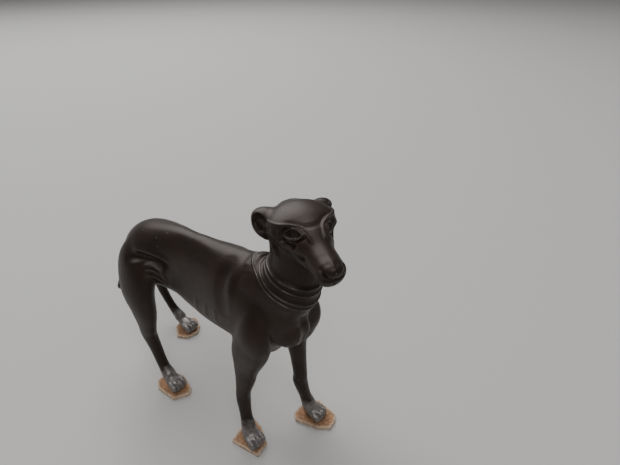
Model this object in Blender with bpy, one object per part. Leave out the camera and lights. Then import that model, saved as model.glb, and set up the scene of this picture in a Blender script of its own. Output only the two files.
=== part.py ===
"""A standing greyhound, one small dark casting with a ringed collar, on four cut cork pads.

Frame: +X is where the hound's body faces, +Y its left side, +Z up. The origin is the middle of
the footprint's box, on the surface that the pads stand on.

The hound is built the way a modeller works in wax. Lofted forms are laid over one another, a
voxel remesh makes them one skin, the creases between them are filled, and strokes along short
lines then raise the muscles and press in the hollows. Places on the figure are in figure units,
of which the hound is 98 high, so that the whole figure follows HOUND_HEIGHT.
"""

import math

import bmesh
import bpy
import numpy as np
from mathutils import Euler, Matrix, Vector

HOUND_HEIGHT = 0.098  # soles to the crown of the skull
FIGURE_UNITS = 98.0  # the hound's height in figure units
UNIT = HOUND_HEIGHT / FIGURE_UNITS
PAD_THICKNESS = 0.0013  # cork under each paw
GLUE_GAP = 0.0003  # between a sole and its pad
VOXEL = 0.45  # remesh size, in figure units
HOUND_TRIANGLES = 9000

CASTING_COLOUR = (0.022, 0.019, 0.018, 1.0)
CORK_COLOUR = (0.36, 0.21, 0.12, 1.0)

# The torso, from rump to breast: x, top, underside, half width.
TORSO = (
    (-44.0, 58.2, 47.0, 7.4),
    (-40.5, 64.0, 45.0, 10.0),
    (-34.0, 68.2, 44.0, 11.6),
    (-25.0, 70.6, 43.6, 10.8),
    (-15.0, 72.2, 42.4, 8.8),
    (-6.0, 73.0, 39.8, 8.8),
    (3.0, 73.5, 39.0, 9.8),
    (12.0, 74.6, 40.2, 11.0),
    (21.0, 75.4, 41.4, 11.6),
    (29.0, 74.4, 41.6, 11.0),
    (34.0, 67.0, 43.0, 9.2),
    (36.0, 61.6, 47.0, 6.4),
)
CHEST_TAPER = 0.12  # how much narrower the keel is than the back

# The neck, from between the shoulders to the skull: x, y, z, half width, half depth.
NECK = (
    (19.0, 0.0, 62.0, 9.0, 12.0),
    (26.5, 0.2, 64.0, 9.6, 13.0),
    (33.2, 0.8, 68.0, 9.0, 11.2),
    (36.4, 1.6, 73.6, 7.9, 8.9),
    (37.0, 2.2, 78.0, 7.3, 8.0),
    (36.6, 2.8, 83.0, 7.2, 7.9),
    (35.8, 3.0, 89.0, 6.8, 7.6),
)

# The breast below the collar, from the throat down to between the legs, with the same numbers.
BREAST = (
    (33.0, 0.4, 67.0, 8.6, 8.6),
    (33.4, 0.0, 60.0, 8.8, 8.0),
    (31.6, 0.0, 53.0, 8.4, 6.2),
    (28.2, 0.0, 44.4, 6.4, 4.2),
)
COLLAR_PLACE = Vector((36.2, 1.6, 73.4))
COLLAR_AXIS = Vector((0.36, 0.1, 0.93)).normalized()
COLLAR_REACH = 9.0  # from the collar's axis to its band
COLLAR_FLARE = 0.25  # how much wider the band is at the throat, and narrower at the nape
COLLAR_HALF_WIDTH = 3.2
COLLAR_RAISE = 0.45
COLLAR_RIDGES = (2.9, 1.3, -1.4, -3.0)  # places along the collar's axis, at its sides
COLLAR_RIDGE_HEIGHT = 0.4
COLLAR_RIDGE_HALF_WIDTH = 0.8
COLLAR_EDGE = 0.7

HEAD_PLACE = Vector((38.4, 2.9, 91.2))
HEAD_TURN = math.radians(-28.0)  # towards the hound's right
HEAD_NOD = math.radians(2.0)  # nose down

# The skull and muzzle in the head's own axes: x, z, half width, half height.
SKULL = (
    (-7.5, 0.0, 4.8, 4.0),
    (-4.0, 0.4, 7.8, 5.8),
    (0.5, 0.4, 8.6, 6.2),
    (5.0, 0.0, 8.1, 5.9),
    (9.0, -0.8, 6.4, 5.4),
    (13.0, -1.5, 4.7, 4.7),
    (17.0, -1.9, 4.4, 4.3),
    (20.2, -2.1, 4.3, 4.1),
)
# The crown, which overhangs the eyes, with the same numbers.
CROWN = (
    (-6.0, 2.0, 5.5, 3.4),
    (-3.0, 2.2, 9.0, 4.5),
    (1.0, 2.3, 10.2, 4.7),
    (4.4, 2.3, 9.6, 4.2),
    (7.2, 2.5, 6.4, 3.2),
)
MUZZLE_BLUNTNESS = 0.62

# Where each ear is rooted, and how far it opens to the side.
EAR_PLACE = (-3.7, 9.2, 0.0)
EAR_TURN = math.radians(52.0)
# An ear from its rolled top to its tip, in its own axes: outwards, back, z, half width, half depth.
EAR = (
    (-3.4, 0.0, 2.6, 2.6, 1.8),
    (-1.4, 0.5, 3.6, 3.0, 1.6),
    (0.4, 0.6, 3.2, 3.3, 1.6),
    (0.9, 0.5, 1.0, 3.0, 2.1),
    (0.4, 0.1, -1.2, 2.4, 2.0),
    (-0.4, -0.2, -3.2, 1.3, 1.3),
)
LEFT_EAR_DROP = 0.9

# Each leg from the trunk down, x, y, z, half width, half depth, then its paw's place and turn.
LEGS = {
    "right_fore": (
        (
            (28.0, -6.0, 66.0, 3.0, 5.0),
            (30.0, -9.6, 56.0, 4.4, 6.6),
            (27.4, -9.2, 48.0, 4.6, 7.2),
            (24.4, -8.6, 41.0, 4.2, 6.8),
            (22.6, -8.4, 34.0, 3.4, 5.2),
            (21.8, -8.6, 28.0, 2.9, 4.2),
            (20.8, -9.0, 22.0, 2.5, 3.1),
            (20.4, -9.2, 17.0, 2.6, 2.8),
            (22.0, -10.2, 10.0, 2.2, 2.3),
            (24.0, -11.2, 5.0, 2.8, 2.8),
        ),
        (26.0, -12.0),
        -6.0,
    ),
    "left_fore": (
        (
            (31.0, 6.0, 66.0, 3.0, 5.0),
            (34.2, 9.4, 56.0, 4.2, 6.4),
            (32.2, 10.2, 47.0, 4.3, 5.8),
            (30.0, 9.8, 40.0, 3.4, 4.8),
            (30.8, 10.0, 30.0, 2.7, 3.4),
            (31.8, 9.9, 21.0, 2.5, 2.8),
            (31.8, 9.9, 17.0, 2.7, 2.9),
            (33.5, 10.5, 10.0, 2.2, 2.3),
            (35.2, 11.0, 5.0, 2.8, 2.8),
        ),
        (37.0, 11.5),
        4.0,
    ),
    "right_hind": (
        (
            (-34.4, -4.8, 60.6, 4.5, 7.8),
            (-34.3, -9.4, 53.0, 5.2, 10.4),
            (-32.0, -12.6, 44.0, 5.0, 9.6),
            (-29.4, -13.6, 36.0, 4.0, 7.2),
            (-29.4, -13.6, 28.0, 3.1, 4.9),
            (-30.0, -13.3, 22.5, 2.8, 4.0),
            (-28.0, -13.0, 16.0, 2.4, 2.9),
            (-24.0, -13.4, 8.0, 2.2, 2.3),
            (-21.0, -13.6, 4.6, 2.8, 2.8),
        ),
        (-18.0, -13.7),
        0.0,
    ),
    "left_hind": (
        (
            (-34.4, 4.8, 60.6, 4.5, 7.8),
            (-35.6, 8.9, 53.0, 5.0, 9.9),
            (-40.0, 11.4, 44.0, 4.8, 8.2),
            (-45.6, 11.6, 36.0, 3.8, 6.2),
            (-52.2, 11.4, 28.0, 2.8, 3.8),
            (-56.2, 11.2, 21.8, 2.2, 2.9),
            (-54.0, 11.4, 15.0, 1.9, 2.0),
            (-50.0, 11.9, 8.4, 1.9, 2.0),
            (-46.0, 12.3, 4.5, 2.6, 2.5),
        ),
        (-41.6, 12.3),
        4.0,
    ),
}

# The body of a paw, in the paw's own axes: x, y, z, half width, half depth.
PAW_BODY = (
    (-3.0, 0.0, 2.2, 2.0, 1.8),
    (-1.4, 0.0, 2.5, 2.7, 2.5),
    (1.0, 0.0, 2.1, 3.1, 2.3),
    (2.8, 0.0, 1.7, 2.8, 1.8),
)
TOE_SPACING = 1.6
TOE_RADIUS = 1.15

# The tail, from its root down: x, y, z, radius.
TAIL = (
    (-40.5, 0.0, 62.0, 2.6),
    (-45.0, -1.0, 56.0, 2.5),
    (-48.0, -4.0, 49.0, 2.1),
    (-48.6, -8.0, 42.0, 1.8),
    (-49.8, -10.6, 35.6, 1.4),
)

# The corners of each cork pad from the middle of its paw, in figure units.
PAD_CORNERS = {
    "right_fore": ((-5.8, -4.9), (6.1, -3.2), (5.1, 2.7), (-1.0, 6.4), (-6.3, 7.6), (-7.0, 0.0)),
    "left_fore": (
        (-6.4, -4.3),
        (-3.9, -6.5),
        (5.3, -3.8),
        (9.0, -0.9),
        (8.6, 2.8),
        (6.8, 5.4),
        (-2.0, 6.6),
        (-6.6, 3.0),
    ),
    "right_hind": (
        (-8.1, -3.0),
        (-4.0, -5.4),
        (5.1, -4.9),
        (8.4, 1.2),
        (6.2, 3.6),
        (-1.0, 5.8),
        (-7.4, 3.6),
    ),
    "left_hind": (
        (-5.3, -3.1),
        (0.5, -6.8),
        (5.0, -4.3),
        (6.2, 1.0),
        (3.2, 4.9),
        (-2.3, 7.3),
        (-7.0, 3.4),
    ),
}
PAD_EDGE_SOFTNESS = 0.00015

PARED_RIM = 0.35  # the share of a pared place that is its soft rim
STROKE_LIFT = 2.0  # over how many radii the tool is lifted at each end of a long stroke


def smooth_course(stations, per_span=8):
    """Rows of numbers between the stations, on a curve that passes through each of them."""
    rows = np.array(stations, float)
    padded = np.vstack([2 * rows[0] - rows[1], rows, 2 * rows[-1] - rows[-2]])
    course = []
    for a, b, c, d in zip(padded[:-3], padded[1:-2], padded[2:-1], padded[3:]):
        for t in np.arange(per_span) / per_span:
            slope = (c - a) * t
            bend = (2 * a - 5 * b + 4 * c - d) * t**2
            twist = (3 * b - a - 3 * c + d) * t**3
            course.append(b + (slope + bend + twist) / 2)
    return np.array(course + [rows[-1]])


def loft(centres, half_widths, half_depths, sides=28, taper=0.0, bluntness=1.0):
    """A closed form with oval sections along a line, as a bmesh. Its ends are domed."""
    centres = [Vector(c) for c in centres]
    last = len(centres) - 1
    dome = [math.radians(a) for a in (76, 62, 48, 32, 16)]
    courses = [(0, -math.sin(a), math.cos(a)) for a in dome]
    courses += [(i, 0.0, 1.0) for i in range(last + 1)]
    courses += [(last, bluntness * math.sin(a), math.cos(a)) for a in reversed(dome)]
    bm = bmesh.new()
    rings = []
    for i, ahead, scale in courses:
        along = (centres[min(i + 1, last)] - centres[max(i - 1, 0)]).normalized()
        wide = Vector((0.0, 1.0, 0.0))
        wide = (wide - wide.dot(along) * along).normalized()
        deep = along.cross(wide)
        middle = centres[i] + along * ahead * min(half_widths[i], half_depths[i])
        ring = []
        for k in range(sides):
            turn = math.tau * k / sides
            flare = 1.0 + taper * math.sin(turn)
            sideways = wide * half_widths[i] * scale * math.cos(turn) * flare
            upwards = deep * half_depths[i] * scale * math.sin(turn)
            ring.append(bm.verts.new(middle + sideways + upwards))
        rings.append(ring)
    for ring, following in zip(rings, rings[1:]):
        for k in range(sides):
            n = (k + 1) % sides
            bm.faces.new((ring[k], ring[n], following[n], following[k]))
    bm.faces.new(rings[0])
    bm.faces.new(rings[-1])
    bmesh.ops.recalc_face_normals(bm, faces=bm.faces)
    return bm


def limb_form(stations, place=None, sides=28):
    rows = smooth_course(stations)
    bm = loft(rows[:, :3], rows[:, 3], rows[:, -1], sides)
    if place:
        bm.transform(place)
    return bm


def torso_form():
    rows = smooth_course(TORSO)
    centres = [(x, 0.0, (top + under) / 2) for x, top, under, _ in rows]
    return loft(centres, rows[:, 3], (rows[:, 1] - rows[:, 2]) / 2, 56, -CHEST_TAPER)


def head_matrix():
    turn = Euler((0.0, HEAD_NOD, HEAD_TURN)).to_matrix().to_4x4()
    return Matrix.Translation(HEAD_PLACE) @ turn


def skull_form():
    rows = smooth_course(SKULL)
    centres = [(x, 0.0, z) for x, z, _, _ in rows]
    bm = loft(centres, rows[:, 2], rows[:, 3], 48, bluntness=MUZZLE_BLUNTNESS)
    bm.transform(head_matrix())
    return bm


def crown_form():
    rows = smooth_course(CROWN)
    bm = loft([(x, 0.0, z) for x, z, _, _ in rows], rows[:, 2], rows[:, 3], 48, bluntness=0.4)
    bm.transform(head_matrix())
    return bm


def ear_matrix(side):
    """The place of an ear's own axes: outwards where it opens, back, and up."""
    x, y, z = EAR_PLACE
    drop = LEFT_EAR_DROP if side > 0 else 0.0
    turn = Matrix.Rotation(side * EAR_TURN, 4, "Z")
    return head_matrix() @ Matrix.Translation((x, side * y, z - drop)) @ turn


def ear_form(side):
    stations = [(out, side * back, z, wide, deep) for out, back, z, wide, deep in EAR]
    return limb_form(stations, ear_matrix(side))


def paw_matrix(leg):
    _, place, turn = LEGS[leg]
    return Matrix.Translation((*place, 0.0)) @ Matrix.Rotation(math.radians(turn), 4, "Z")


def paw_forms(leg):
    """The paw's body and its four toes, the middle two ahead of the outer two."""
    place = paw_matrix(leg)
    forms = [limb_form(PAW_BODY, place)]
    for lane in (-1.5, -0.5, 0.5, 1.5):
        ahead = 1.0 - abs(lane) / 3.0
        across = lane * TOE_SPACING
        toe = (
            (-0.8, across * 0.85, 3.0, TOE_RADIUS * 0.9),
            (1.6 + ahead, across, 2.5, TOE_RADIUS),
            (2.7 + 1.3 * ahead, across, 1.3, TOE_RADIUS),
        )
        forms.append(limb_form(toe, place, sides=14))
    return forms


def mesh_of_forms(forms, name):
    whole = bmesh.new()
    for form in forms:
        piece = bpy.data.meshes.new("form")
        form.to_mesh(piece)
        form.free()
        whole.from_mesh(piece)
        bpy.data.meshes.remove(piece)
    mesh = bpy.data.meshes.new(name)
    whole.to_mesh(mesh)
    whole.free()
    return mesh


def fuse(forms, name, voxel):
    """An object with one closed skin around forms that run into one another."""
    obj = bpy.data.objects.new(name, mesh_of_forms(forms, name))
    bpy.context.scene.collection.objects.link(obj)
    remesh = obj.modifiers.new("Skin", "REMESH")
    remesh.mode = "VOXEL"
    remesh.voxel_size = voxel
    bpy.context.view_layer.update()
    graph = bpy.context.evaluated_depsgraph_get()
    obj.data = bpy.data.meshes.new_from_object(obj.evaluated_get(graph))
    obj.modifiers.clear()
    return obj


class ToolPlane:
    """A flat view of the figure that strokes are drawn on, with the way that the tool faces."""

    def __init__(self, outward, place=None, straight=False):
        self.straight = straight  # whether the tool moves along the view, not along the skin's facing
        self.place = np.array(place or Matrix.Identity(4))
        out = Vector(outward).normalized()
        across = Vector((1.0, 0.0, 0.0)) if abs(out.x) < 0.1 else out.orthogonal().normalized()
        across = (across - across.dot(out) * out).normalized()
        axes = np.array((across, out.cross(across), out))
        self.axes = axes @ self.place[:3, :3].T

    def flat(self, points):
        """The points' two places on the plane, and their height over its middle."""
        seen = (points - self.place[:3, 3]) @ self.axes.T
        return seen[:, :2], seen[:, 2]

    def line(self, points):
        """A line given in the plane's own frame, smoothed and laid on the plane."""
        course = smooth_course(points, 3) if len(points) > 2 else np.array(points, float)
        return self.flat(course @ self.place[:3, :3].T + self.place[:3, 3])[0]


class Skin:
    """The points of a mesh, with the moves that a modeller's tools make."""

    def __init__(self, mesh):
        self.mesh = mesh
        found = np.empty(len(mesh.vertices) * 3, np.float32)
        mesh.vertices.foreach_get("co", found)
        self.points = found.reshape(-1, 3).astype(float)
        edges = np.empty(len(mesh.edges) * 2, np.int32)
        mesh.edges.foreach_get("vertices", edges)
        edges = edges.reshape(-1, 2)
        self.ends = np.concatenate([edges, edges[:, ::-1]])
        self.valence = np.bincount(self.ends[:, 0], minlength=len(self.points))
        self.facing = self.normals()

    def write(self):
        self.mesh.vertices.foreach_set("co", self.points.astype(np.float32).ravel())
        self.mesh.update()

    def normals(self):
        self.write()
        found = np.empty(len(self.points) * 3, np.float32)
        self.mesh.vertex_normals.foreach_get("vector", found)
        return found.reshape(-1, 3).astype(float)

    def neighbours_mean(self, values):
        start, end = self.ends.T
        count = len(values)
        sums = [np.bincount(start, values[end, axis], count) for axis in range(3)]
        return np.stack(sums, 1) / self.valence[:, None]

    def pull(self):
        """From each point to the mean of its neighbours."""
        return self.neighbours_mean(self.points) - self.points

    def smooth(self, rounds):
        for _ in range(rounds):
            self.points += 0.5 * self.pull()
            self.points -= 0.52 * self.pull()

    def fill_creases(self, rounds):
        """Creases fill up as with a wet finger, and what stands out stays."""
        for step in range(rounds):
            if step % 8 == 0:
                normals = self.normals()
            rise = np.maximum(0.0, (self.pull() * normals).sum(1))
            self.points += 0.9 * rise[:, None] * normals

    def take_facing(self, rounds=6):
        """Which way the skin faces, evened out, for the strokes that follow."""
        facing = self.normals()
        for _ in range(rounds):
            facing = self.neighbours_mean(facing)
        self.facing = facing / np.linalg.norm(facing, axis=1)[:, None]

    def stroke(self, plane, line, radius, height, within=(-99.0, 99.0)):
        """Raises a soft ridge along a line, or presses in a groove where height is below zero."""
        flat, over = plane.flat(self.points)
        line = plane.line(line)
        low = line.min(0) - radius
        high = line.max(0) + radius
        near = ((flat > low) & (flat < high)).all(1) & (over > within[0]) & (over < within[1])
        near &= self.facing @ plane.axes[2] > 0.0
        near = np.flatnonzero(near)
        spot = flat[near]
        reach = np.full(len(near), np.inf)
        along = np.zeros(len(near))
        passed = 0.0
        for start, end in zip(line[:-1], line[1:]):
            span = end - start
            length = np.hypot(*span)
            share = np.clip((spot - start) @ span / length**2, 0.0, 1.0)
            apart = np.hypot(*(spot - start - share[:, None] * span).T)
            along = np.where(apart < reach, passed + share * length, along)
            reach = np.minimum(reach, apart)
            passed += length
        lift = min(STROKE_LIFT * radius, passed / 4)
        fade = np.clip(np.minimum(along, passed - along) / lift, 0.0, 1.0)
        turned = np.clip(self.facing[near] @ plane.axes[2] / 0.3, 0.0, 1.0)
        inside = np.clip((over[near] - within[0]) / 2.0, 0.0, 1.0)
        soft = np.maximum(0.0, 1.0 - (reach / radius) ** 2) ** 2 * turned * inside
        if passed > STROKE_LIFT * radius:
            soft *= 0.2 + 0.8 * fade * (2.0 - fade)
        way = plane.axes[2] if plane.straight else self.facing[near]
        self.points[near] += (height * soft)[:, None] * way

    def set_ball(self, centre, radius):
        """Sets a ball in the skin: what is inside it comes up to its surface."""
        away = self.points - centre
        reach = np.linalg.norm(away, axis=1)
        inside = (reach < radius) & (reach > 0.05 * radius)
        self.points[inside] += away[inside] * (radius / reach[inside] - 1.0)[:, None]

    def pare(self, plane, reach, height):
        """Pares the skin down to a flat, oval place on a plane, with a soft rim."""
        flat, over = plane.flat(self.points)
        apart = np.hypot(*(flat / np.array(reach)).T)
        near = np.flatnonzero((apart < 1.0) & (over > height) & (over < 4.0))
        share = np.clip((1.0 - apart[near]) / PARED_RIM, 0.0, 1.0)
        share *= share * (3.0 - 2.0 * share)
        self.points[near] -= (share * (over[near] - height))[:, None] * plane.axes[2]

    def press(self, plane, strokes, side=1.0, within=(-99.0, 99.0)):
        """A set of strokes, each a line of points, a radius and a height."""
        for line, radius, height in strokes:
            self.stroke(plane, [(x, side * y, z) for x, y, z in line], radius, height, within)


# Strokes on each flank: x, y, z along the line, then radius and height.
FLANK_STROKES = (
    (((25.0, 0.0, 68.0), (28.0, 0.0, 60.0), (34.0, 0.0, 52.0)), 7.0, 0.3),  # shoulder blade
    (((18.0, 0.0, 74.8), (16.0, 0.0, 72.0), (15.6, 0.0, 66.0), (18.4, 0.0, 56.0)), 4.2, -0.5),
    (((20.6, 0.0, 74.4), (19.4, 0.0, 70.0), (19.6, 0.0, 64.0)), 3.0, 0.3),
    (((-15.0, 0.0, 69.8), (-7.0, 0.0, 70.4), (1.0, 0.0, 70.4), (8.0, 0.0, 70.4)), 2.6, -0.25),
    (((-12.0, 0.0, 55.0), (-16.0, 0.0, 58.0)), 8.0, -0.3),  # hollow of the loin
    (((-33.0, 0.0, 61.4), (-29.0, 0.0, 62.4), (-22.0, 0.0, 62.6), (-14.0, 0.0, 61.8)), 1.8, 0.3),
    (((-33.6, 0.0, 58.0), (-29.0, 0.0, 59.6), (-22.0, 0.0, 60.2), (-15.0, 0.0, 58.8)), 2.4, -1.4),
    (((-25.6, 0.0, 57.6), (-22.4, 0.0, 58.6), (-19.0, 0.0, 57.4), (-16.4, 0.0, 54.8)), 1.1, 0.75),
    (((-25.4, 0.0, 55.3), (-21.4, 0.0, 56.2), (-18.0, 0.0, 54.9), (-15.8, 0.0, 52.4)), 1.1, 0.7),
    (((-25.0, 0.0, 53.0), (-22.0, 0.0, 53.2), (-19.0, 0.0, 52.4), (-15.2, 0.0, 50.8)), 1.1, 0.6),
    (((1.6, 0.0, 54.0), (-0.4, 0.0, 48.0)), 1.6, 0.3),  # ribs
    (((7.4, 0.0, 55.0), (5.4, 0.0, 48.4)), 1.6, 0.3),
    (((13.4, 0.0, 56.4), (12.0, 0.0, 50.4)), 1.6, 0.25),
)
# Strokes on the breast, seen from the front.
BREAST_STROKES = (
    (((0.0, 0.0, 62.0), (0.0, 0.0, 51.0)), 2.4, -0.35),
    (((0.0, 3.0, 61.0), (0.0, 3.2, 52.0)), 2.4, 0.2),
    (((0.0, 5.6, 66.0), (0.0, 8.0, 59.0), (0.0, 7.6, 52.0)), 2.6, -0.4),
)

# Each eye: the middle of its opening in the head's own axes, which way it looks, and its long way.
EYE_PLACE = (7.85, 5.2, 3.4)
EYE_LOOK = (0.52, 0.8, 0.3)
EYE_ALONG = (0.763, -0.593, 0.254)
EYE_SOCKET = (4.6, 2.7)  # half its length and half its height
EYE_SOCKET_LEVEL = -0.5  # over the middle of the opening
EYEBALL_RADIUS = 2.1
EYEBALL_DEPTH = 2.1  # from the middle of the opening in to the middle of the ball
# Strokes round each eye, in the eye's own axes: along it from the rear corner, up, and out.
EYE_STROKES = (
    (((-3.4, -0.3, 0.0), (-2.0, 0.8, 0.0), (-0.4, 1.4, 0.0), (1.4, 1.0, 0.0), (3.1, -0.3, 0.0)), 0.6, 0.75),
    (((-3.4, -0.2, 0.0), (-2.0, -1.0, 0.0), (-0.4, -1.5, 0.0), (1.5, -1.2, 0.0), (3.1, -0.2, 0.0)), 0.75, 1.0),
    (((-4.4, -0.4, 0.0), (-3.4, -2.1, 0.0), (-1.9, -3.0, 0.0), (-0.5, -3.3, 0.0), (1.1, -2.6, 0.0)), 1.2, -1.3),
    (((-8.0, 0.8, 0.0), (-6.0, 0.8, 0.0), (-4.2, 0.4, 0.0)), 1.7, -0.5),
)
# Strokes on each side of the face, in the head's own axes.
FACE_STROKES = (
    (((7.4, 7.6, -2.6), (9.8, 6.6, -2.4), (12.2, 5.6, -1.8), (14.0, 4.8, -1.1)), 1.3, -1.2),
    (((9.0, 7.0, -4.6), (12.4, 6.0, -3.8), (15.4, 4.8, -3.0)), 1.1, 0.4),
    (((-0.6, 8.0, 0.6), (-0.4, 8.0, -4.0), (1.8, 7.6, -7.4)), 0.9, 0.9),  # rear of the jaw
    (((-2.2, 8.0, -0.6), (-1.8, 8.0, -4.0), (0.0, 7.6, -7.6)), 1.2, -0.5),
    (((14.0, 5.0, -3.8), (18.0, 4.4, -4.0), (21.0, 3.6, -3.7)), 0.8, -0.45),
)
# Strokes on each side of the brow, seen from above and aside.
BROW_STROKES = (
    (((-1.0, 9.0, 3.0), (1.4, 9.0, 3.8), (4.0, 7.8, 4.4), (6.4, 4.9, 5.0), (7.9, 3.7, 5.0)), 0.7, 0.4),
    (((4.8, 6.8, 4.8), (6.9, 4.4, 5.2), (9.0, 3.1, 4.7), (11.0, 2.5, 3.9), (13.0, 2.1, 3.2)), 0.7, 0.45),
    (((4.6, 6.8, 5.6), (7.4, 3.7, 6.0), (8.7, 1.8, 5.9), (9.0, 0.0, 5.8)), 1.2, -0.16),
)
# Strokes on the nose, seen from the front.
NOSE_STROKES = (
    (((0.0, 0.0, -0.1), (0.0, 1.6, -0.3)), 2.6, 0.5),  # leather
    (((0.0, 0.0, 1.9), (0.0, 2.2, 1.6), (0.0, 3.5, 0.4)), 0.8, -0.3),
    (((0.0, 3.3, 0.6), (0.0, 2.8, -0.6), (0.0, 1.8, -1.6), (0.0, 0.8, -1.6)), 0.75, -0.9),  # nostril
    (((0.0, 0.0, -2.4), (0.0, 1.5, -2.5), (0.0, 3.2, -2.0)), 0.7, -0.4),
    (((0.0, 0.0, -0.4), (0.0, 0.0, -2.8), (0.0, 0.0, -4.6)), 0.5, -0.2),
)
# The hollow of each ear, in its own axes, and the fold that is drawn in it.
EAR_HOLLOW_PLACE = (0.0, 0.6, 0.8)
EAR_HOLLOW_LOOK = (0.86, 0.0, 0.5)
EAR_HOLLOW = (2.7, 3.3)  # half its width and half its height
EAR_HOLLOW_LEVEL = 0.9  # outwards from the middle of the ear
EAR_STROKES = (
    (((0.0, 2.4, 2.2), (0.0, 0.6, 1.6), (0.0, -1.4, 0.4)), 1.1, 0.7),
)

# Strokes on each paw, seen from above its toes, in the paw's own axes.
CLEFT_STROKE = (((0.6, 0.0, 0.0), (3.4, 0.0, 0.0), (7.0, 0.0, 0.0)), 0.62, -0.75)
KNUCKLE_STROKE = (((2.4, 0.0, 0.0), (3.2, 0.0, 0.0)), 1.0, 0.35)


def model_body(skin):
    skin.take_facing()
    front = ToolPlane((1.0, 0.0, 0.0))
    for side in (-1.0, 1.0):
        flank = ToolPlane((0.0, side, 0.0))
        skin.press(flank, FLANK_STROKES, side, (1.5, 99.0))
        skin.press(front, BREAST_STROKES, side, (34.0, 99.0))


def model_paws(skin):
    """Draws the clefts between the toes and their knuckles."""
    skin.take_facing()
    for leg in LEGS:
        above = ToolPlane((0.45, 0.0, 0.9), paw_matrix(leg))
        for strokes, lanes in ((CLEFT_STROKE, (-1, 0, 1)), (KNUCKLE_STROKE, (-1.5, -0.5, 0.5, 1.5))):
            line, radius, height = strokes
            for lane in lanes:
                moved = [(x, y + lane * TOE_SPACING, z) for x, y, z in line]
                skin.stroke(above, moved, radius, height, (-2.0, 6.0))


def eye_matrix(side):
    """The place of an eye's own axes: along it, up, and out."""
    out = Vector(EYE_LOOK).normalized()
    along = Vector(EYE_ALONG)
    along = (along - along.dot(out) * out).normalized()
    out.y *= side
    along.y *= side
    x, y, z = EYE_PLACE
    up = out.cross(along) * -side
    turn = Matrix((along, up, out)).transposed().to_4x4()
    return head_matrix() @ Matrix.Translation((x, side * y, z)) @ turn


def model_head(skin):
    head = head_matrix()
    front = ToolPlane((1.0, 0.0, 0.0), head)
    for side in (-1.0, 1.0):
        eye = ToolPlane((0.0, 0.0, 1.0), eye_matrix(side), straight=True)
        brow = ToolPlane((0.3, 0.6 * side, 0.8), head)
        cheek = ToolPlane((0.3, side, 0.15), head)
        ear = ToolPlane((1.0, 0.0, 0.0), ear_matrix(side), straight=True)
        skin.take_facing(16)
        skin.pare(eye, EYE_SOCKET, EYE_SOCKET_LEVEL)
        skin.press(brow, BROW_STROKES, side, (2.0, 99.0))
        middle = eye_matrix(side) @ Vector((0.0, 0.0, -EYEBALL_DEPTH))
        skin.set_ball(np.array(middle), EYEBALL_RADIUS)
        skin.take_facing(10)
        skin.press(eye, EYE_STROKES, 1.0, (-6.0, 4.0))
        skin.press(cheek, FACE_STROKES, side, (1.5, 11.0))
        skin.press(front, NOSE_STROKES, side, (17.0, 99.0))
        x, y, z = EAR_HOLLOW_PLACE
        hollow = ear_matrix(side) @ Matrix.Translation((x, side * y, z))
        skin.pare(ToolPlane(EAR_HOLLOW_LOOK, hollow), EAR_HOLLOW, EAR_HOLLOW_LEVEL)
        skin.press(ear, EAR_STROKES, side, (-3.0, 6.0))


def collar_slice(points):
    """Each point's place along the collar's axis, as on its front, and its way out from the axis."""
    axis = np.array(COLLAR_AXIS)
    local = points - np.array(COLLAR_PLACE)
    along = local @ axis
    out = local - along[:, None] * axis
    ahead = np.clip(out[:, 0] / COLLAR_REACH, -1.0, 1.0)
    return along / (1.0 + COLLAR_FLARE * ahead), out


def model_collar(skin):
    """A raised band round the neck, with four ridges."""
    along, out = collar_slice(skin.points)
    reach = np.linalg.norm(out, axis=1)
    edge = np.clip((COLLAR_HALF_WIDTH - np.abs(along)) / COLLAR_EDGE, 0.0, 1.0)
    band = edge * COLLAR_RAISE
    for place in COLLAR_RIDGES:
        share = np.clip(1.0 - ((along - place) / COLLAR_RIDGE_HALF_WIDTH) ** 2, 0.0, 1.0)
        band += share * COLLAR_RIDGE_HEIGHT
    band *= reach < 1.6 * COLLAR_REACH
    skin.points += (band / np.maximum(reach, 1e-6))[:, None] * out


def flatten_soles(obj):
    """Cuts the paws flat at the height of the soles."""
    bm = bmesh.new()
    bm.from_mesh(obj.data)
    everything = bm.verts[:] + bm.edges[:] + bm.faces[:]
    up = (0.0, 0.0, 1.0)
    bmesh.ops.bisect_plane(bm, geom=everything, plane_no=up, clear_inner=True)
    rims = [edge for edge in bm.edges if edge.is_boundary]
    bmesh.ops.holes_fill(bm, edges=rims, sides=0)
    bmesh.ops.recalc_face_normals(bm, faces=bm.faces)
    bm.to_mesh(obj.data)
    bm.free()


def plain_material(name, colour, roughness, metallic=0.0):
    material = bpy.data.materials.new(name)
    material.use_nodes = True
    shader = material.node_tree.nodes["Principled BSDF"]
    shader.inputs["Base Color"].default_value = colour
    shader.inputs["Roughness"].default_value = roughness
    shader.inputs["Metallic"].default_value = metallic
    return material


def greyhound():
    trunk = [torso_form(), limb_form(NECK), limb_form(BREAST), limb_form(TAIL)]
    forms = trunk + [skull_form(), crown_form(), ear_form(-1), ear_form(1)]
    for leg, (stations, _, _) in LEGS.items():
        forms.append(limb_form(stations))
        forms.extend(paw_forms(leg))
    obj = fuse(forms, "greyhound", VOXEL)
    skin = Skin(obj.data)
    skin.fill_creases(40)
    skin.smooth(8)
    model_body(skin)
    skin.smooth(6)
    model_paws(skin)
    model_collar(skin)
    model_head(skin)
    skin.smooth(1)
    skin.write()
    flatten_soles(obj)
    obj.data.transform(Matrix.Scale(UNIT, 4))
    obj.location.z = PAD_THICKNESS + GLUE_GAP
    thin = obj.modifiers.new("Budget", "DECIMATE")
    faces = sum(len(p.vertices) - 2 for p in obj.data.polygons)
    thin.ratio = HOUND_TRIANGLES / faces
    obj.data.materials.append(plain_material("dark casting", CASTING_COLOUR, 0.4, 0.6))
    return obj


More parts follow.
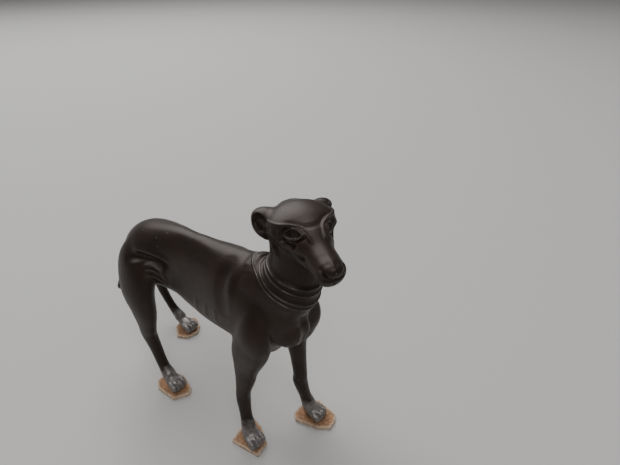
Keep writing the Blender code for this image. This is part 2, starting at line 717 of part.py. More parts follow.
def cork_pad(leg, material):
    """A scrap of cork cut with straight snips, a little larger than the paw on it."""
    x, y = LEGS[leg][1]
    bm = bmesh.new()
    corners = [bm.verts.new(((x + a) * UNIT, (y + b) * UNIT, 0.0)) for a, b in PAD_CORNERS[leg]]
    face = bm.faces.new(corners)
    raised = bmesh.ops.extrude_face_region(bm, geom=[face])["geom"]
    top = [item for item in raised if isinstance(item, bmesh.types.BMVert)]
    bmesh.ops.translate(bm, verts=top, vec=(0.0, 0.0, PAD_THICKNESS))
    bmesh.ops.bevel(bm, geom=bm.edges[:], offset=PAD_EDGE_SOFTNESS, segments=1, affect="EDGES")
    bmesh.ops.recalc_face_normals(bm, faces=bm.faces)
    name = leg + "_pad"
    mesh = bpy.data.meshes.new(name)
    bm.to_mesh(mesh)
    bm.free()
    mesh.materials.append(material)
    pad = bpy.data.objects.new(name, mesh)
    bpy.context.scene.collection.objects.link(pad)
    return pad


def centre_footprint(pieces):
    """Moves everything so that the middle of the whole box stands over the origin."""
    bpy.context.view_layer.update()
    graph = bpy.context.evaluated_depsgraph_get()
    corners = np.array(
        [p.matrix_world @ Vector(c) for p in pieces for c in p.evaluated_get(graph).bound_box]
    )
    middle = (corners.min(0) + corners.max(0)) / 2
    for piece in pieces:
        piece.location.x -= middle[0]
        piece.location.y -= middle[1]


def clear_scene():
    for obj in list(bpy.data.objects):
        bpy.data.objects.remove(obj)


def main():
    clear_scene()
    hound = greyhound()
    cork = plain_material("cork", CORK_COLOUR, 0.9)
    centre_footprint([hound] + [cork_pad(leg, cork) for leg in LEGS])


if __name__ == "__main__":
    main()
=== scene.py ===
"""A small dark cast greyhound with a ringed collar, standing on four cut cork pads.

The hound is modelled as in wax: lofted forms are laid over one another, a voxel remesh makes
them one skin, the creases between them are filled, and strokes along short lines raise the
muscles and press in the hollows. Places on the figure are in figure units, of which the hound
is 98 high.
"""

import math

import bmesh
import bpy
import numpy as np
from mathutils import Euler, Matrix, Vector
from mathutils.bvhtree import BVHTree


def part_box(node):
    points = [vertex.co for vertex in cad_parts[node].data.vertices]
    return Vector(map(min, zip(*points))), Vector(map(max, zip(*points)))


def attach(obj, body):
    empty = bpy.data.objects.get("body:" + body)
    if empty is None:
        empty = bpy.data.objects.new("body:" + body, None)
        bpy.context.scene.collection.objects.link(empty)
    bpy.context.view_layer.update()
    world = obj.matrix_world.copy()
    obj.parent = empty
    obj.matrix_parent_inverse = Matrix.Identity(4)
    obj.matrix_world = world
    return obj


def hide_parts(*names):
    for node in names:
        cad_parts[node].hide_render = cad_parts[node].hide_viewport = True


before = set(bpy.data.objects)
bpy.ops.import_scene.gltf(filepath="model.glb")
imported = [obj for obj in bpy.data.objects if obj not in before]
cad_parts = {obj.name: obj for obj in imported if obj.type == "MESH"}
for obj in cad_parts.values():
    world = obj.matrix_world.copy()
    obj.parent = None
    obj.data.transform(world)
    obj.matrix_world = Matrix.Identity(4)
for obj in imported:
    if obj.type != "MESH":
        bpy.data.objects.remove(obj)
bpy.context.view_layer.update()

bl_info = {
    "name": "Cast Greyhound on Cork Pads",
    "version": (1, 0, 0),
    "blender": (4, 5, 0),
    "location": "View3D > Sidebar > Greyhound",
    "description": "A small dark cast greyhound with a ringed collar, on four cut cork pads",
    "category": "Object",
}

FIGURE_UNITS = 98.0  # the hound's height in figure units
GLUE_GAP = 0.0003  # between a sole and its pad
PAD_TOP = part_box("left_fore_pad")[1][2]
SMOOTHED_AT = 0.45  # the voxel that these rounds are counted for
CREASE_ROUNDS = 40
FIRST_SMOOTHING = 8
LAST_SMOOTHING = 6
HOLLOW_BEND = 0.03  # how much bend counts as a full hollow or ridge
BEND_SPREAD = 4  # rounds that even out the bend, which marks raised places for rubbed wear and a painted highlight, and hollows for the warmer patina
RIDGE_POINTS = 120  # along each ridge of the collar
RIDGE_EVENING = 6  # rounds that even out a ridge's course
CORK_VOXEL = 0.0002  # remesh size of a pad
CORK_LEVEL = 0.62  # the noise at which a pad's face stays where it is
CRUMB_SHAPES = ((0.5, 0.4, 0.3), (1.2, 1.0, 0.7))  # the smallest and the largest crumb
RIM_WIDTH = 0.0011  # of the pale cut edge of a pad
GRAIN_SCALE = 2600.0  # of the casting's finest bumps, in cells per metre, as the next three
SWELL_SCALE = 420.0
CRUMB_SCALE = 1600.0
FRAY_SCALE = 900.0
FLOOR_REACH = 6.0
FLOOR_ROUGHNESS = 0.8
SKY_COLOUR = (1.0, 0.99, 0.98, 1.0)
LIT_PLACE = Vector((0.0, 0.0, 0.05))  # what the lights are turned to
CAMERA_CLIP = 0.005
CAMERA_SENSOR = 36.0
CAMERA_LENS = 27.06
CAMERA_PLACE = Vector((0.1108, -0.08405, 0.160))  # from where the hound's own axes stand
CAMERA_VIEW = Vector((-0.529, 0.669, -0.5225))

# The torso, from rump to breast: x, top, underside, half width.
TORSO = (
    (-44.0, 58.2, 47.0, 7.4),
    (-40.5, 64.0, 45.0, 10.0),
    (-34.0, 68.2, 44.0, 11.6),
    (-25.0, 70.6, 43.6, 10.8),
    (-15.0, 72.2, 42.4, 8.8),
    (-6.0, 73.0, 39.8, 8.8),
    (3.0, 73.5, 39.0, 9.8),
    (12.0, 74.6, 40.2, 11.0),
    (21.0, 75.4, 41.4, 11.6),
    (29.0, 74.4, 41.6, 11.0),
    (34.0, 67.0, 43.0, 9.2),
    (36.0, 61.6, 47.0, 6.4),
)
CHEST_TAPER = 0.12  # how much narrower the keel is than the back

# The neck, from between the shoulders to the skull: x, y, z, half width, half depth.
NECK = (
    (19.0, 0.0, 62.0, 9.0, 12.0),
    (26.5, 0.2, 64.0, 9.6, 13.0),
    (33.2, 0.8, 68.0, 9.0, 11.2),
    (36.4, 1.6, 73.6, 7.9, 8.9),
    (37.0, 2.2, 78.0, 7.3, 8.0),
    (36.6, 2.8, 83.0, 7.2, 7.9),
    (35.8, 3.0, 89.0, 6.8, 7.6),
)

# The breast below the collar, from the throat down to between the legs, with the same numbers.
BREAST = (
    (33.0, 0.4, 67.0, 8.6, 8.6),
    (33.4, 0.0, 60.0, 8.8, 8.0),
    (31.6, 0.0, 53.0, 8.4, 6.2),
    (28.2, 0.0, 44.4, 6.4, 4.2),
)
COLLAR_PLACE = Vector((36.2, 1.6, 73.4))
COLLAR_AXIS = Vector((0.36, 0.1, 0.93)).normalized()
COLLAR_REACH = 9.0  # from the collar's axis to its band
COLLAR_FLARE = 0.25  # how much wider the band is at the throat, and narrower at the nape
COLLAR_HALF_WIDTH = 3.2
COLLAR_RAISE = 0.45
COLLAR_RIDGES = (2.9, 1.3, -1.4, -3.0)  # places along the collar's axis, at its sides
COLLAR_RIDGE_HEIGHT = 0.4
COLLAR_RIDGE_HALF_WIDTH = 0.8
COLLAR_EDGE = 0.7
COLLAR_LIMIT = 1.6  # times its reach, beyond which nothing is raised

HEAD_PLACE = Vector((38.4, 2.9, 91.2))
HEAD_TURN = math.radians(-28.0)  # towards the hound's right
HEAD_NOD = math.radians(2.0)  # nose down
HEAD_FROM = (30.0, 78.0)  # ahead of and above this is the head

# The skull and muzzle in the head's own axes: x, z, half width, half height.
SKULL = (
    (-7.5, 0.0, 4.8, 4.0),
    (-4.0, 0.4, 7.8, 5.8),
    (0.5, 0.4, 8.6, 6.2),
    (5.0, 0.0, 8.1, 5.9),
    (9.0, -0.8, 6.4, 5.4),
    (13.0, -1.5, 4.7, 4.7),
    (17.0, -1.9, 4.4, 4.3),
    (20.2, -2.1, 4.3, 4.1),
)
# The crown, which overhangs the eyes, with the same numbers.
CROWN = (
    (-6.0, 2.0, 5.5, 3.4),
    (-3.0, 2.2, 9.0, 4.5),
    (1.0, 2.3, 10.2, 4.7),
    (4.4, 2.3, 9.6, 4.2),
    (7.2, 2.5, 6.4, 3.2),
)
MUZZLE_BLUNTNESS = 0.62  # how far the front end is domed, as a share of its smaller half size
CROWN_BLUNTNESS = 0.4

# Where each ear is rooted, and how far it opens to the side.
EAR_PLACE = (-3.7, 9.2, 0.0)
EAR_TURN = math.radians(52.0)
# An ear from its rolled top to its tip, in its own axes: outwards, back, z, half width, half depth.
EAR = (
    (-3.4, 0.0, 2.6, 2.6, 1.8),
    (-1.4, 0.5, 3.6, 3.0, 1.6),
    (0.4, 0.6, 3.2, 3.3, 1.6),
    (0.9, 0.5, 1.0, 3.0, 2.1),
    (0.4, 0.1, -1.2, 2.4, 2.0),
    (-0.4, -0.2, -3.2, 1.3, 1.3),
)
LEFT_EAR_DROP = 0.9

# Each leg from the trunk down: x, y, z, half width, half depth. Then its paw's place and its turn
# in degrees.
LEGS = {
    "right_fore": (
        (
            (28.0, -6.0, 66.0, 3.0, 5.0),
            (30.0, -9.6, 56.0, 4.4, 6.6),
            (27.4, -9.2, 48.0, 4.6, 7.2),
            (24.4, -8.6, 41.0, 4.2, 6.8),
            (22.6, -8.4, 34.0, 3.4, 5.2),
            (21.8, -8.6, 28.0, 2.9, 4.2),
            (20.8, -9.0, 22.0, 2.5, 3.1),
            (20.4, -9.2, 17.0, 2.6, 2.8),
            (22.0, -10.2, 10.0, 2.2, 2.3),
            (24.0, -11.2, 5.0, 2.8, 2.8),
        ),
        (26.0, -12.0),
        -6.0,
    ),
    "left_fore": (
        (
            (31.0, 6.0, 66.0, 3.0, 5.0),
            (34.2, 9.4, 56.0, 4.2, 6.4),
            (32.2, 10.2, 47.0, 4.3, 5.8),
            (30.0, 9.8, 40.0, 3.4, 4.8),
            (30.8, 10.0, 30.0, 2.7, 3.4),
            (31.8, 9.9, 21.0, 2.5, 2.8),
            (31.8, 9.9, 17.0, 2.7, 2.9),
            (33.5, 10.5, 10.0, 2.2, 2.3),
            (35.2, 11.0, 5.0, 2.8, 2.8),
        ),
        (37.0, 11.5),
        4.0,
    ),
    "right_hind": (
        (
            (-34.4, -4.8, 60.6, 4.5, 7.8),
            (-34.3, -9.4, 53.0, 5.2, 10.4),
            (-32.0, -12.6, 44.0, 5.0, 9.6),
            (-29.4, -13.6, 36.0, 4.0, 7.2),
            (-29.4, -13.6, 28.0, 3.1, 4.9),
            (-30.0, -13.3, 22.5, 2.8, 4.0),
            (-28.0, -13.0, 16.0, 2.4, 2.9),
            (-24.0, -13.4, 8.0, 2.2, 2.3),
            (-21.0, -13.6, 4.6, 2.8, 2.8),
        ),
        (-18.0, -13.7),
        0.0,
    ),
    "left_hind": (
        (
            (-34.4, 4.8, 60.6, 4.5, 7.8),
            (-35.6, 8.9, 53.0, 5.0, 9.9),
            (-40.0, 11.4, 44.0, 4.8, 8.2),
            (-45.6, 11.6, 36.0, 3.8, 6.2),
            (-52.2, 11.4, 28.0, 2.8, 3.8),
            (-56.2, 11.2, 21.8, 2.2, 2.9),
            (-54.0, 11.4, 15.0, 1.9, 2.0),
            (-50.0, 11.9, 8.4, 1.9, 2.0),
            (-46.0, 12.3, 4.5, 2.6, 2.5),
        ),
        (-41.6, 12.3),
        4.0,
    ),
}

# The body of a paw, in the paw's own axes: x, y, z, half width, half depth.
PAW_BODY = (
    (-3.0, 0.0, 2.2, 2.0, 1.8),
    (-1.4, 0.0, 2.5, 2.7, 2.5),
    (1.0, 0.0, 2.1, 3.1, 2.3),
    (2.8, 0.0, 1.7, 2.8, 1.8),
)
TOE_SPACING = 1.6
TOE_RADIUS = 1.15

# The tail, from its root down: x, y, z, radius.
TAIL = (
    (-40.5, 0.0, 62.0, 2.6),
    (-45.0, -1.0, 56.0, 2.5),
    (-48.0, -4.0, 49.0, 2.1),
    (-48.6, -8.0, 42.0, 1.8),
    (-49.8, -10.6, 35.6, 1.4),
)

# The corners of each cork pad from the middle of its paw, in figure units.
PAD_CORNERS = {
    "right_fore": (
        (-5.8, -4.9), (6.1, -3.2), (5.1, 2.7),
        (-1.0, 6.4), (-6.3, 7.6), (-7.0, 0.0),
    ),
    "left_fore": (
        (-6.4, -4.3), (-3.9, -6.5), (5.3, -3.8), (9.0, -0.9),
        (8.6, 2.8), (6.8, 5.4), (-2.0, 6.6), (-6.6, 3.0),
    ),
    "right_hind": (
        (-8.1, -3.0), (-4.0, -5.4), (5.1, -4.9), (8.4, 1.2),
        (6.2, 3.6), (-1.0, 5.8), (-7.4, 3.6),
    ),
    "left_hind": (
        (-5.3, -3.1), (0.5, -6.8), (5.0, -4.3), (6.2, 1.0),
        (3.2, 4.9), (-2.3, 7.3), (-7.0, 3.4),
    ),
}

SMOOTH_IN = 0.5  # how far each round of smoothing goes in, and then out again
SMOOTH_OUT = 0.52
FILL_SHARE = 0.9  # how much of a crease one round fills
FACING_EVERY = 8  # rounds of filling between two looks at which way the skin faces
BALL_MIDDLE = 0.05  # the share of a ball round its middle that the skin never reaches
PARED_RIM = 0.35  # the share of a pared place that is its soft rim
PARED_BELOW = 4.0  # how far over its plane the paring tool still cuts
STROKE_LIFT = 2.0  # over how many radii the tool is lifted at each end of a long stroke
STROKE_START = 0.2  # the share of its full height with which a long stroke starts
STROKE_TURNED = 0.3  # the cosine between skin and tool under which a stroke fades
STROKE_INSIDE = 2.0  # over how much height a stroke comes in at its lower bound
X_AND_Y, X_AND_Z, Y_AND_Z, ALL_AXES = [0, 1], [0, 2], [1, 2], [0, 1, 2]


def smooth_course(stations, per_span=8):
    """Rows of numbers between the stations, on a curve that passes through each of them."""
    rows = np.array(stations, float)
    padded = np.vstack([2 * rows[0] - rows[1], rows, 2 * rows[-1] - rows[-2]])
    course = []
    for a, b, c, d in zip(padded[:-3], padded[1:-2], padded[2:-1], padded[3:]):
        for t in np.arange(per_span) / per_span:
            slope = (c - a) * t
            bend = (2 * a - 5 * b + 4 * c - d) * t**2
            twist = (3 * b - a - 3 * c + d) * t**3
            course.append(b + (slope + bend + twist) / 2)
    return np.array(course + [rows[-1]])


def loft(centres, half_widths, half_depths, sides=28, taper=0.0, bluntness=1.0):
    """A closed form with oval sections along a line, as a bmesh. Its ends are domed."""
    centres = [Vector(c) for c in centres]
    last = len(centres) - 1
    dome = [math.radians(a) for a in (76, 62, 48, 32, 16)]
    courses = [(0, -math.sin(a), math.cos(a)) for a in dome]
    courses += [(i, 0.0, 1.0) for i in range(last + 1)]
    courses += [(last, bluntness * math.sin(a), math.cos(a)) for a in reversed(dome)]
    bm = bmesh.new()
    rings = []
    for i, ahead, scale in courses:
        along = (centres[min(i + 1, last)] - centres[max(i - 1, 0)]).normalized()
        wide = Vector((0.0, 1.0, 0.0))
        wide = (wide - wide.dot(along) * along).normalized()
        deep = along.cross(wide)
        middle = centres[i] + along * ahead * min(half_widths[i], half_depths[i])
        ring = []
        for k in range(sides):
            turn = math.tau * k / sides
            flare = 1.0 + taper * math.sin(turn)
            sideways = wide * half_widths[i] * scale * math.cos(turn) * flare
            upwards = deep * half_depths[i] * scale * math.sin(turn)
            ring.append(bm.verts.new(middle + sideways + upwards))
        rings.append(ring)
    for ring, following in zip(rings, rings[1:]):
        for k in range(sides):
            n = (k + 1) % sides
            bm.faces.new((ring[k], ring[n], following[n], following[k]))
    bm.faces.new(rings[0])
    bm.faces.new(rings[-1])
    bmesh.ops.recalc_face_normals(bm, faces=bm.faces)
    return bm


def limb_form(stations, place=None, sides=28):
    rows = smooth_course(stations)
    bm = loft(rows[:, :3], rows[:, 3], rows[:, -1], sides)
    if place:
        bm.transform(place)
    return bm


def torso_form():
    rows = smooth_course(TORSO)
    centres = [(x, 0.0, (top + under) / 2) for x, top, under, _ in rows]
    return loft(centres, rows[:, 3], (rows[:, 1] - rows[:, 2]) / 2, 56, -CHEST_TAPER)


def head_matrix():
    turn = Euler((0.0, HEAD_NOD, HEAD_TURN)).to_matrix().to_4x4()
    return Matrix.Translation(HEAD_PLACE) @ turn


def head_form(stations, bluntness):
    """A form in the head's own axes, from rows of x, z, half width and half height."""
    rows = smooth_course(stations)
    centres = [(x, 0.0, z) for x, z, _, _ in rows]
    bm = loft(centres, rows[:, 2], rows[:, 3], 48, bluntness=bluntness)
    bm.transform(head_matrix())
    return bm


def ear_matrix(side):
    """The place of an ear's own axes: outwards where it opens, back, and up."""
    x, y, z = EAR_PLACE
    drop = LEFT_EAR_DROP if side > 0 else 0.0
    turn = Matrix.Rotation(side * EAR_TURN, 4, "Z")
    return head_matrix() @ Matrix.Translation((x, side * y, z - drop)) @ turn


def ear_form(side):
    stations = [(out, side * back, z, wide, deep) for out, back, z, wide, deep in EAR]
    return limb_form(stations, ear_matrix(side))


def paw_matrix(leg):
    _, place, turn = LEGS[leg]
    return Matrix.Translation((*place, 0.0)) @ Matrix.Rotation(math.radians(turn), 4, "Z")


def paw_forms(leg):
    """The paw's body and its four toes, the middle two ahead of the outer two."""
    place = paw_matrix(leg)
    forms = [limb_form(PAW_BODY, place)]
    for lane in (-1.5, -0.5, 0.5, 1.5):
        ahead = 1.0 - abs(lane) / 3.0
        across = lane * TOE_SPACING
        toe = (
            (-0.8, across * 0.85, 3.0, TOE_RADIUS * 0.9),
            (1.6 + ahead, across, 2.5, TOE_RADIUS),
            (2.7 + 1.3 * ahead, across, 1.3, TOE_RADIUS),
        )
        forms.append(limb_form(toe, place, sides=14))
    return forms


def mesh_of_forms(forms, name):
    whole = bmesh.new()
    for form in forms:
        piece = bpy.data.meshes.new("form")
        form.to_mesh(piece)
        form.free()
        whole.from_mesh(piece)
        bpy.data.meshes.remove(piece)
    mesh = bpy.data.meshes.new(name)
    whole.to_mesh(mesh)
    whole.free()
    return mesh


def evaluated_mesh(obj):
    """A mesh of the object as its modifiers leave it."""
    bpy.context.view_layer.update()
    graph = bpy.context.evaluated_depsgraph_get()
    return bpy.data.meshes.new_from_object(obj.evaluated_get(graph))


def fuse(forms, name, voxel):
    """An object with one closed skin around forms that run into one another."""
    obj = bpy.data.objects.new(name, mesh_of_forms(forms, name))
    bpy.context.scene.collection.objects.link(obj)
    remesh = obj.modifiers.new("Skin", "REMESH")
    remesh.mode = "VOXEL"
    remesh.voxel_size = voxel
    obj.data = evaluated_mesh(obj)
    obj.modifiers.clear()
    return obj


class ToolPlane:
    """A flat view of the figure that strokes are drawn on, with the way that the tool faces."""

    def __init__(self, outward, place=None, straight=False):
        self.straight = straight  # whether the tool moves along the view, not along the skin's facing
        self.place = np.array(place or Matrix.Identity(4))
        out = Vector(outward).normalized()
        across = Vector((1.0, 0.0, 0.0)) if abs(out.x) < 0.1 else out.orthogonal().normalized()
        across = (across - across.dot(out) * out).normalized()
        axes = np.array((across, out.cross(across), out))
        self.axes = axes @ self.place[:3, :3].T

    def flat(self, points):
        """The points' two places on the plane, and their height over its middle."""
        seen = (points - self.place[:3, 3]) @ self.axes.T
        return seen[:, :2], seen[:, 2]

    def line(self, points):
        """A line given in the plane's own frame, smoothed and laid on the plane."""
        course = smooth_course(points, 3) if len(points) > 2 else np.array(points, float)
        return self.flat(course @ self.place[:3, :3].T + self.place[:3, 3])[0]


class Skin:
    """The points of a mesh, with the moves that a modeller's tools make."""

    def __init__(self, mesh):
        self.mesh = mesh
        found = np.empty(len(mesh.vertices) * 3, np.float32)
        mesh.vertices.foreach_get("co", found)
        self.points = found.reshape(-1, 3).astype(float)
        edges = np.empty(len(mesh.edges) * 2, np.int32)
        mesh.edges.foreach_get("vertices", edges)
        edges = edges.reshape(-1, 2)
        self.ends = np.concatenate([edges, edges[:, ::-1]])
        self.valence = np.bincount(self.ends[:, 0], minlength=len(self.points))
        self.facing = self.normals()

    def write(self):
        self.mesh.vertices.foreach_set("co", self.points.astype(np.float32).ravel())
        self.mesh.update()

    def normals(self):
        self.write()
        found = np.empty(len(self.points) * 3, np.float32)
        self.mesh.vertex_normals.foreach_get("vector", found)
        return found.reshape(-1, 3).astype(float)

    def neighbours_mean(self, values):
        start, end = self.ends.T
        count = len(values)
        sums = [np.bincount(start, values[end, axis], count) for axis in range(3)]
        return np.stack(sums, 1) / self.valence[:, None]

    def pull(self):
        """From each point to the mean of its neighbours."""
        return self.neighbours_mean(self.points) - self.points

    def smooth(self, rounds):
        for _ in range(rounds):
            self.points += SMOOTH_IN * self.pull()
            self.points -= SMOOTH_OUT * self.pull()

    def fill_creases(self, rounds):
        """Creases fill up as with a wet finger, and what stands out stays."""
        for step in range(rounds):
            if step % FACING_EVERY == 0:
                normals = self.normals()
            rise = np.maximum(0.0, (self.pull() * normals).sum(1))
            self.points += FILL_SHARE * rise[:, None] * normals

    def take_facing(self, rounds=6):
        """Which way the skin faces, evened out, for the strokes that follow."""
        facing = self.normals()
        for _ in range(rounds):
            facing = self.neighbours_mean(facing)
        self.facing = facing / np.linalg.norm(facing, axis=1)[:, None]

    def stroke(self, plane, line, radius, height, within):
        """Raises a soft ridge along a line, or presses in a groove where height is below zero."""
        flat, over = plane.flat(self.points)
        line = plane.line(line)
        low = line.min(0) - radius
        high = line.max(0) + radius
        near = ((flat > low) & (flat < high)).all(1) & (over > within[0]) & (over < within[1])
        near &= self.facing @ plane.axes[2] > 0.0
        near = np.flatnonzero(near)
        spot = flat[near]
        reach = np.full(len(near), np.inf)
        along = np.zeros(len(near))
        passed = 0.0
        for start, end in zip(line[:-1], line[1:]):
            span = end - start
            length = np.hypot(*span)
            share = np.clip((spot - start) @ span / length**2, 0.0, 1.0)
            apart = np.hypot(*(spot - start - share[:, None] * span).T)
            along = np.where(apart < reach, passed + share * length, along)
            reach = np.minimum(reach, apart)
            passed += length
        lift = min(STROKE_LIFT * radius, passed / 4)
        fade = np.clip(np.minimum(along, passed - along) / lift, 0.0, 1.0)
        turned = np.clip(self.facing[near] @ plane.axes[2] / STROKE_TURNED, 0.0, 1.0)
        inside = np.clip((over[near] - within[0]) / STROKE_INSIDE, 0.0, 1.0)
        soft = np.maximum(0.0, 1.0 - (reach / radius) ** 2) ** 2 * turned * inside
        if passed > STROKE_LIFT * radius:
            soft *= STROKE_START + (1.0 - STROKE_START) * fade * (2.0 - fade)
        way = plane.axes[2] if plane.straight else self.facing[near]
        self.points[near] += (height * soft)[:, None] * way

    def set_ball(self, centre, radius):
        """Sets a ball in the skin: what is inside it comes up to its surface."""
        away = self.points - centre
        reach = np.linalg.norm(away, axis=1)
        inside = (reach < radius) & (reach > BALL_MIDDLE * radius)
        self.points[inside] += away[inside] * (radius / reach[inside] - 1.0)[:, None]

    def pare(self, plane, reach, height):
        """Pares the skin down to a flat, oval place on a plane, with a soft rim."""
        flat, over = plane.flat(self.points)
        apart = np.hypot(*(flat / np.array(reach)).T)
        near = np.flatnonzero((apart < 1.0) & (over > height) & (over < PARED_BELOW))
        share = np.clip((1.0 - apart[near]) / PARED_RIM, 0.0, 1.0)
        share *= share * (3.0 - 2.0 * share)
        self.points[near] -= (share * (over[near] - height))[:, None] * plane.axes[2]

    def press(self, plane, strokes, side, within, axes=ALL_AXES):
        """A set of strokes, each a line of places on the given axes, a radius and a height."""
        for line, radius, height in strokes:
            points = np.zeros((len(line), 3))
            points[:, axes] = line
            points[:, 1] *= side
            self.stroke(plane, points, radius, height, within)


# Strokes on each flank: x and z along the line, then radius and height.
FLANK_STROKES = (
    (((25.0, 68.0), (28.0, 60.0), (34.0, 52.0)), 7.0, 0.3),  # shoulder blade
    (((18.0, 74.8), (16.0, 72.0), (15.6, 66.0), (18.4, 56.0)), 4.2, -0.5),
    (((20.6, 74.4), (19.4, 70.0), (19.6, 64.0)), 3.0, 0.3),
    (((-15.0, 69.8), (-7.0, 70.4), (1.0, 70.4), (8.0, 70.4)), 2.6, -0.25),
    (((-12.0, 55.0), (-16.0, 58.0)), 8.0, -0.3),  # hollow of the loin
    (((-33.0, 61.4), (-29.0, 62.4), (-22.0, 62.6), (-14.0, 61.8)), 1.8, 0.3),
    (((-33.6, 58.0), (-29.0, 59.6), (-22.0, 60.2), (-15.0, 58.8)), 2.4, -1.4),
    (((-25.6, 57.6), (-22.4, 58.6), (-19.0, 57.4), (-16.4, 54.8)), 1.1, 0.75),
    (((-25.4, 55.3), (-21.4, 56.2), (-18.0, 54.9), (-15.8, 52.4)), 1.1, 0.7),
    (((-25.0, 53.0), (-22.0, 53.2), (-19.0, 52.4), (-15.2, 50.8)), 1.1, 0.6),
    (((1.6, 54.0), (-0.4, 48.0)), 1.6, 0.3),  # ribs
    (((7.4, 55.0), (5.4, 48.4)), 1.6, 0.3),
    (((13.4, 56.4), (12.0, 50.4)), 1.6, 0.25),
)
# Strokes on the breast, seen from the front: y and z along the line.
BREAST_STROKES = (
    (((0.0, 62.0), (0.0, 51.0)), 2.4, -0.35),
    (((3.0, 61.0), (3.2, 52.0)), 2.4, 0.2),
    (((5.6, 66.0), (8.0, 59.0), (7.6, 52.0)), 2.6, -0.4),
)

# Each eye: the middle of its opening in the head's own axes, which way it looks, and its long way.
EYE_PLACE = (7.85, 5.2, 3.4)
EYE_LOOK = (0.52, 0.8, 0.3)
EYE_ALONG = (0.763, -0.593, 0.254)
EYE_SOCKET = (4.6, 2.7)  # half its length and half its height
EYE_SOCKET_LEVEL = -0.5  # over the middle of the opening
EYEBALL_RADIUS = 2.1
EYEBALL_DEPTH = 2.1  # from the middle of the opening in to the middle of the ball
# Strokes round each eye, in the eye's own axes: along it from the rear corner, and up.
EYE_STROKES = (
    (((-3.4, -0.3), (-2.0, 0.8), (-0.4, 1.4), (1.4, 1.0), (3.1, -0.3)), 0.6, 0.75),
    (((-3.4, -0.2), (-2.0, -1.0), (-0.4, -1.5), (1.5, -1.2), (3.1, -0.2)), 0.75, 1.0),
    (((-4.4, -0.4), (-3.4, -2.1), (-1.9, -3.0), (-0.5, -3.3), (1.1, -2.6)), 1.2, -1.3),
    (((-8.0, 0.8), (-6.0, 0.8), (-4.2, 0.4)), 1.7, -0.5),
)
# Strokes on each side of the face, in the head's own axes: x, y and z along the line.
FACE_STROKES = (
    (((7.4, 7.6, -2.6), (9.8, 6.6, -2.4), (12.2, 5.6, -1.8), (14.0, 4.8, -1.1)), 1.3, -1.2),
    (((9.0, 7.0, -4.6), (12.4, 6.0, -3.8), (15.4, 4.8, -3.0)), 1.1, 0.4),
    (((-0.6, 8.0, 0.6), (-0.4, 8.0, -4.0), (1.8, 7.6, -7.4)), 0.9, 0.9),  # rear of the jaw
    (((-2.2, 8.0, -0.6), (-1.8, 8.0, -4.0), (0.0, 7.6, -7.6)), 1.2, -0.5),
    (((14.0, 5.0, -3.8), (18.0, 4.4, -4.0), (21.0, 3.6, -3.7)), 0.8, -0.45),
)
# Strokes on each side of the brow, seen from above and aside, with the same numbers.
BROW_STROKES = (
    (
        ((-1.0, 9.0, 3.0), (1.4, 9.0, 3.8), (4.0, 7.8, 4.4), (6.4, 4.9, 5.0), (7.9, 3.7, 5.0)),
        0.7,
        0.4,
    ),
    (
        ((4.8, 6.8, 4.8), (6.9, 4.4, 5.2), (9.0, 3.1, 4.7), (11.0, 2.5, 3.9), (13.0, 2.1, 3.2)),
        0.7,
        0.45,
    ),
    (((4.6, 6.8, 5.6), (7.4, 3.7, 6.0), (8.7, 1.8, 5.9), (9.0, 0.0, 5.8)), 1.2, -0.16),
)
# Strokes on the nose, seen from the front: y and z along the line.
NOSE_STROKES = (
    (((0.0, -0.1), (1.6, -0.3)), 2.6, 0.5),  # leather
    (((0.0, 1.9), (2.2, 1.6), (3.5, 0.4)), 0.8, -0.3),
    (((3.3, 0.6), (2.8, -0.6), (1.8, -1.6), (0.8, -1.6)), 0.75, -0.9),  # nostril
    (((0.0, -2.4), (1.5, -2.5), (3.2, -2.0)), 0.7, -0.4),
    (((0.0, -0.4), (0.0, -2.8), (0.0, -4.6)), 0.5, -0.2),
)
# The hollow of each ear, in its own axes, and the fold that is drawn in it: back and z.
EAR_HOLLOW_PLACE = (0.0, 0.6, 0.8)
EAR_HOLLOW_LOOK = (0.86, 0.0, 0.5)
EAR_HOLLOW = (2.7, 3.3)  # half its width and half its height
EAR_HOLLOW_LEVEL = 0.9  # outwards from the middle of the ear
EAR_STROKES = (
    (((2.4, 2.2), (0.6, 1.6), (-1.4, 0.4)), 1.1, 0.7),
)

# Strokes on each paw, seen from above its toes: places ahead of the paw's middle.
CLEFT_STROKE = ((0.6, 3.4, 7.0), 0.62, -0.75)
KNUCKLE_STROKE = ((2.4, 3.2), 1.0, 0.35)


def model_body(skin):
    """Raises the muscles and ribs of the flanks and the breast, and presses in their folds."""
    skin.take_facing()
    front = ToolPlane((1.0, 0.0, 0.0))
    for side in (-1.0, 1.0):
        flank = ToolPlane((0.0, side, 0.0))
        skin.press(flank, FLANK_STROKES, side, (1.5, 99.0), X_AND_Z)
        skin.press(front, BREAST_STROKES, side, (34.0, 99.0), Y_AND_Z)


def model_paws(skin):
    """Draws the clefts between the toes and their knuckles."""
    skin.take_facing()
    for leg in LEGS:
        above = ToolPlane((0.45, 0.0, 0.9), paw_matrix(leg))
        for strokes, lanes in ((CLEFT_STROKE, (-1, 0, 1)), (KNUCKLE_STROKE, (-1.5, -0.5, 0.5, 1.5))):
            line, radius, height = strokes
            for lane in lanes:
                moved = [(x, lane * TOE_SPACING, 0.0) for x in line]
                skin.stroke(above, moved, radius, height, (-2.0, 6.0))


def eye_matrix(side):
    """The place of an eye's own axes: along it, up, and out."""
    out = Vector(EYE_LOOK).normalized()
    along = Vector(EYE_ALONG)
    along = (along - along.dot(out) * out).normalized()
    out.y *= side
    along.y *= side
    x, y, z = EYE_PLACE
    up = out.cross(along) * -side
    turn = Matrix((along, up, out)).transposed().to_4x4()
    return head_matrix() @ Matrix.Translation((x, side * y, z)) @ turn


def head_area(points):
    """Which of the points belong to the head, for the finer skin there."""
    return (points[:, 0] > HEAD_FROM[0]) & (points[:, 2] > HEAD_FROM[1])


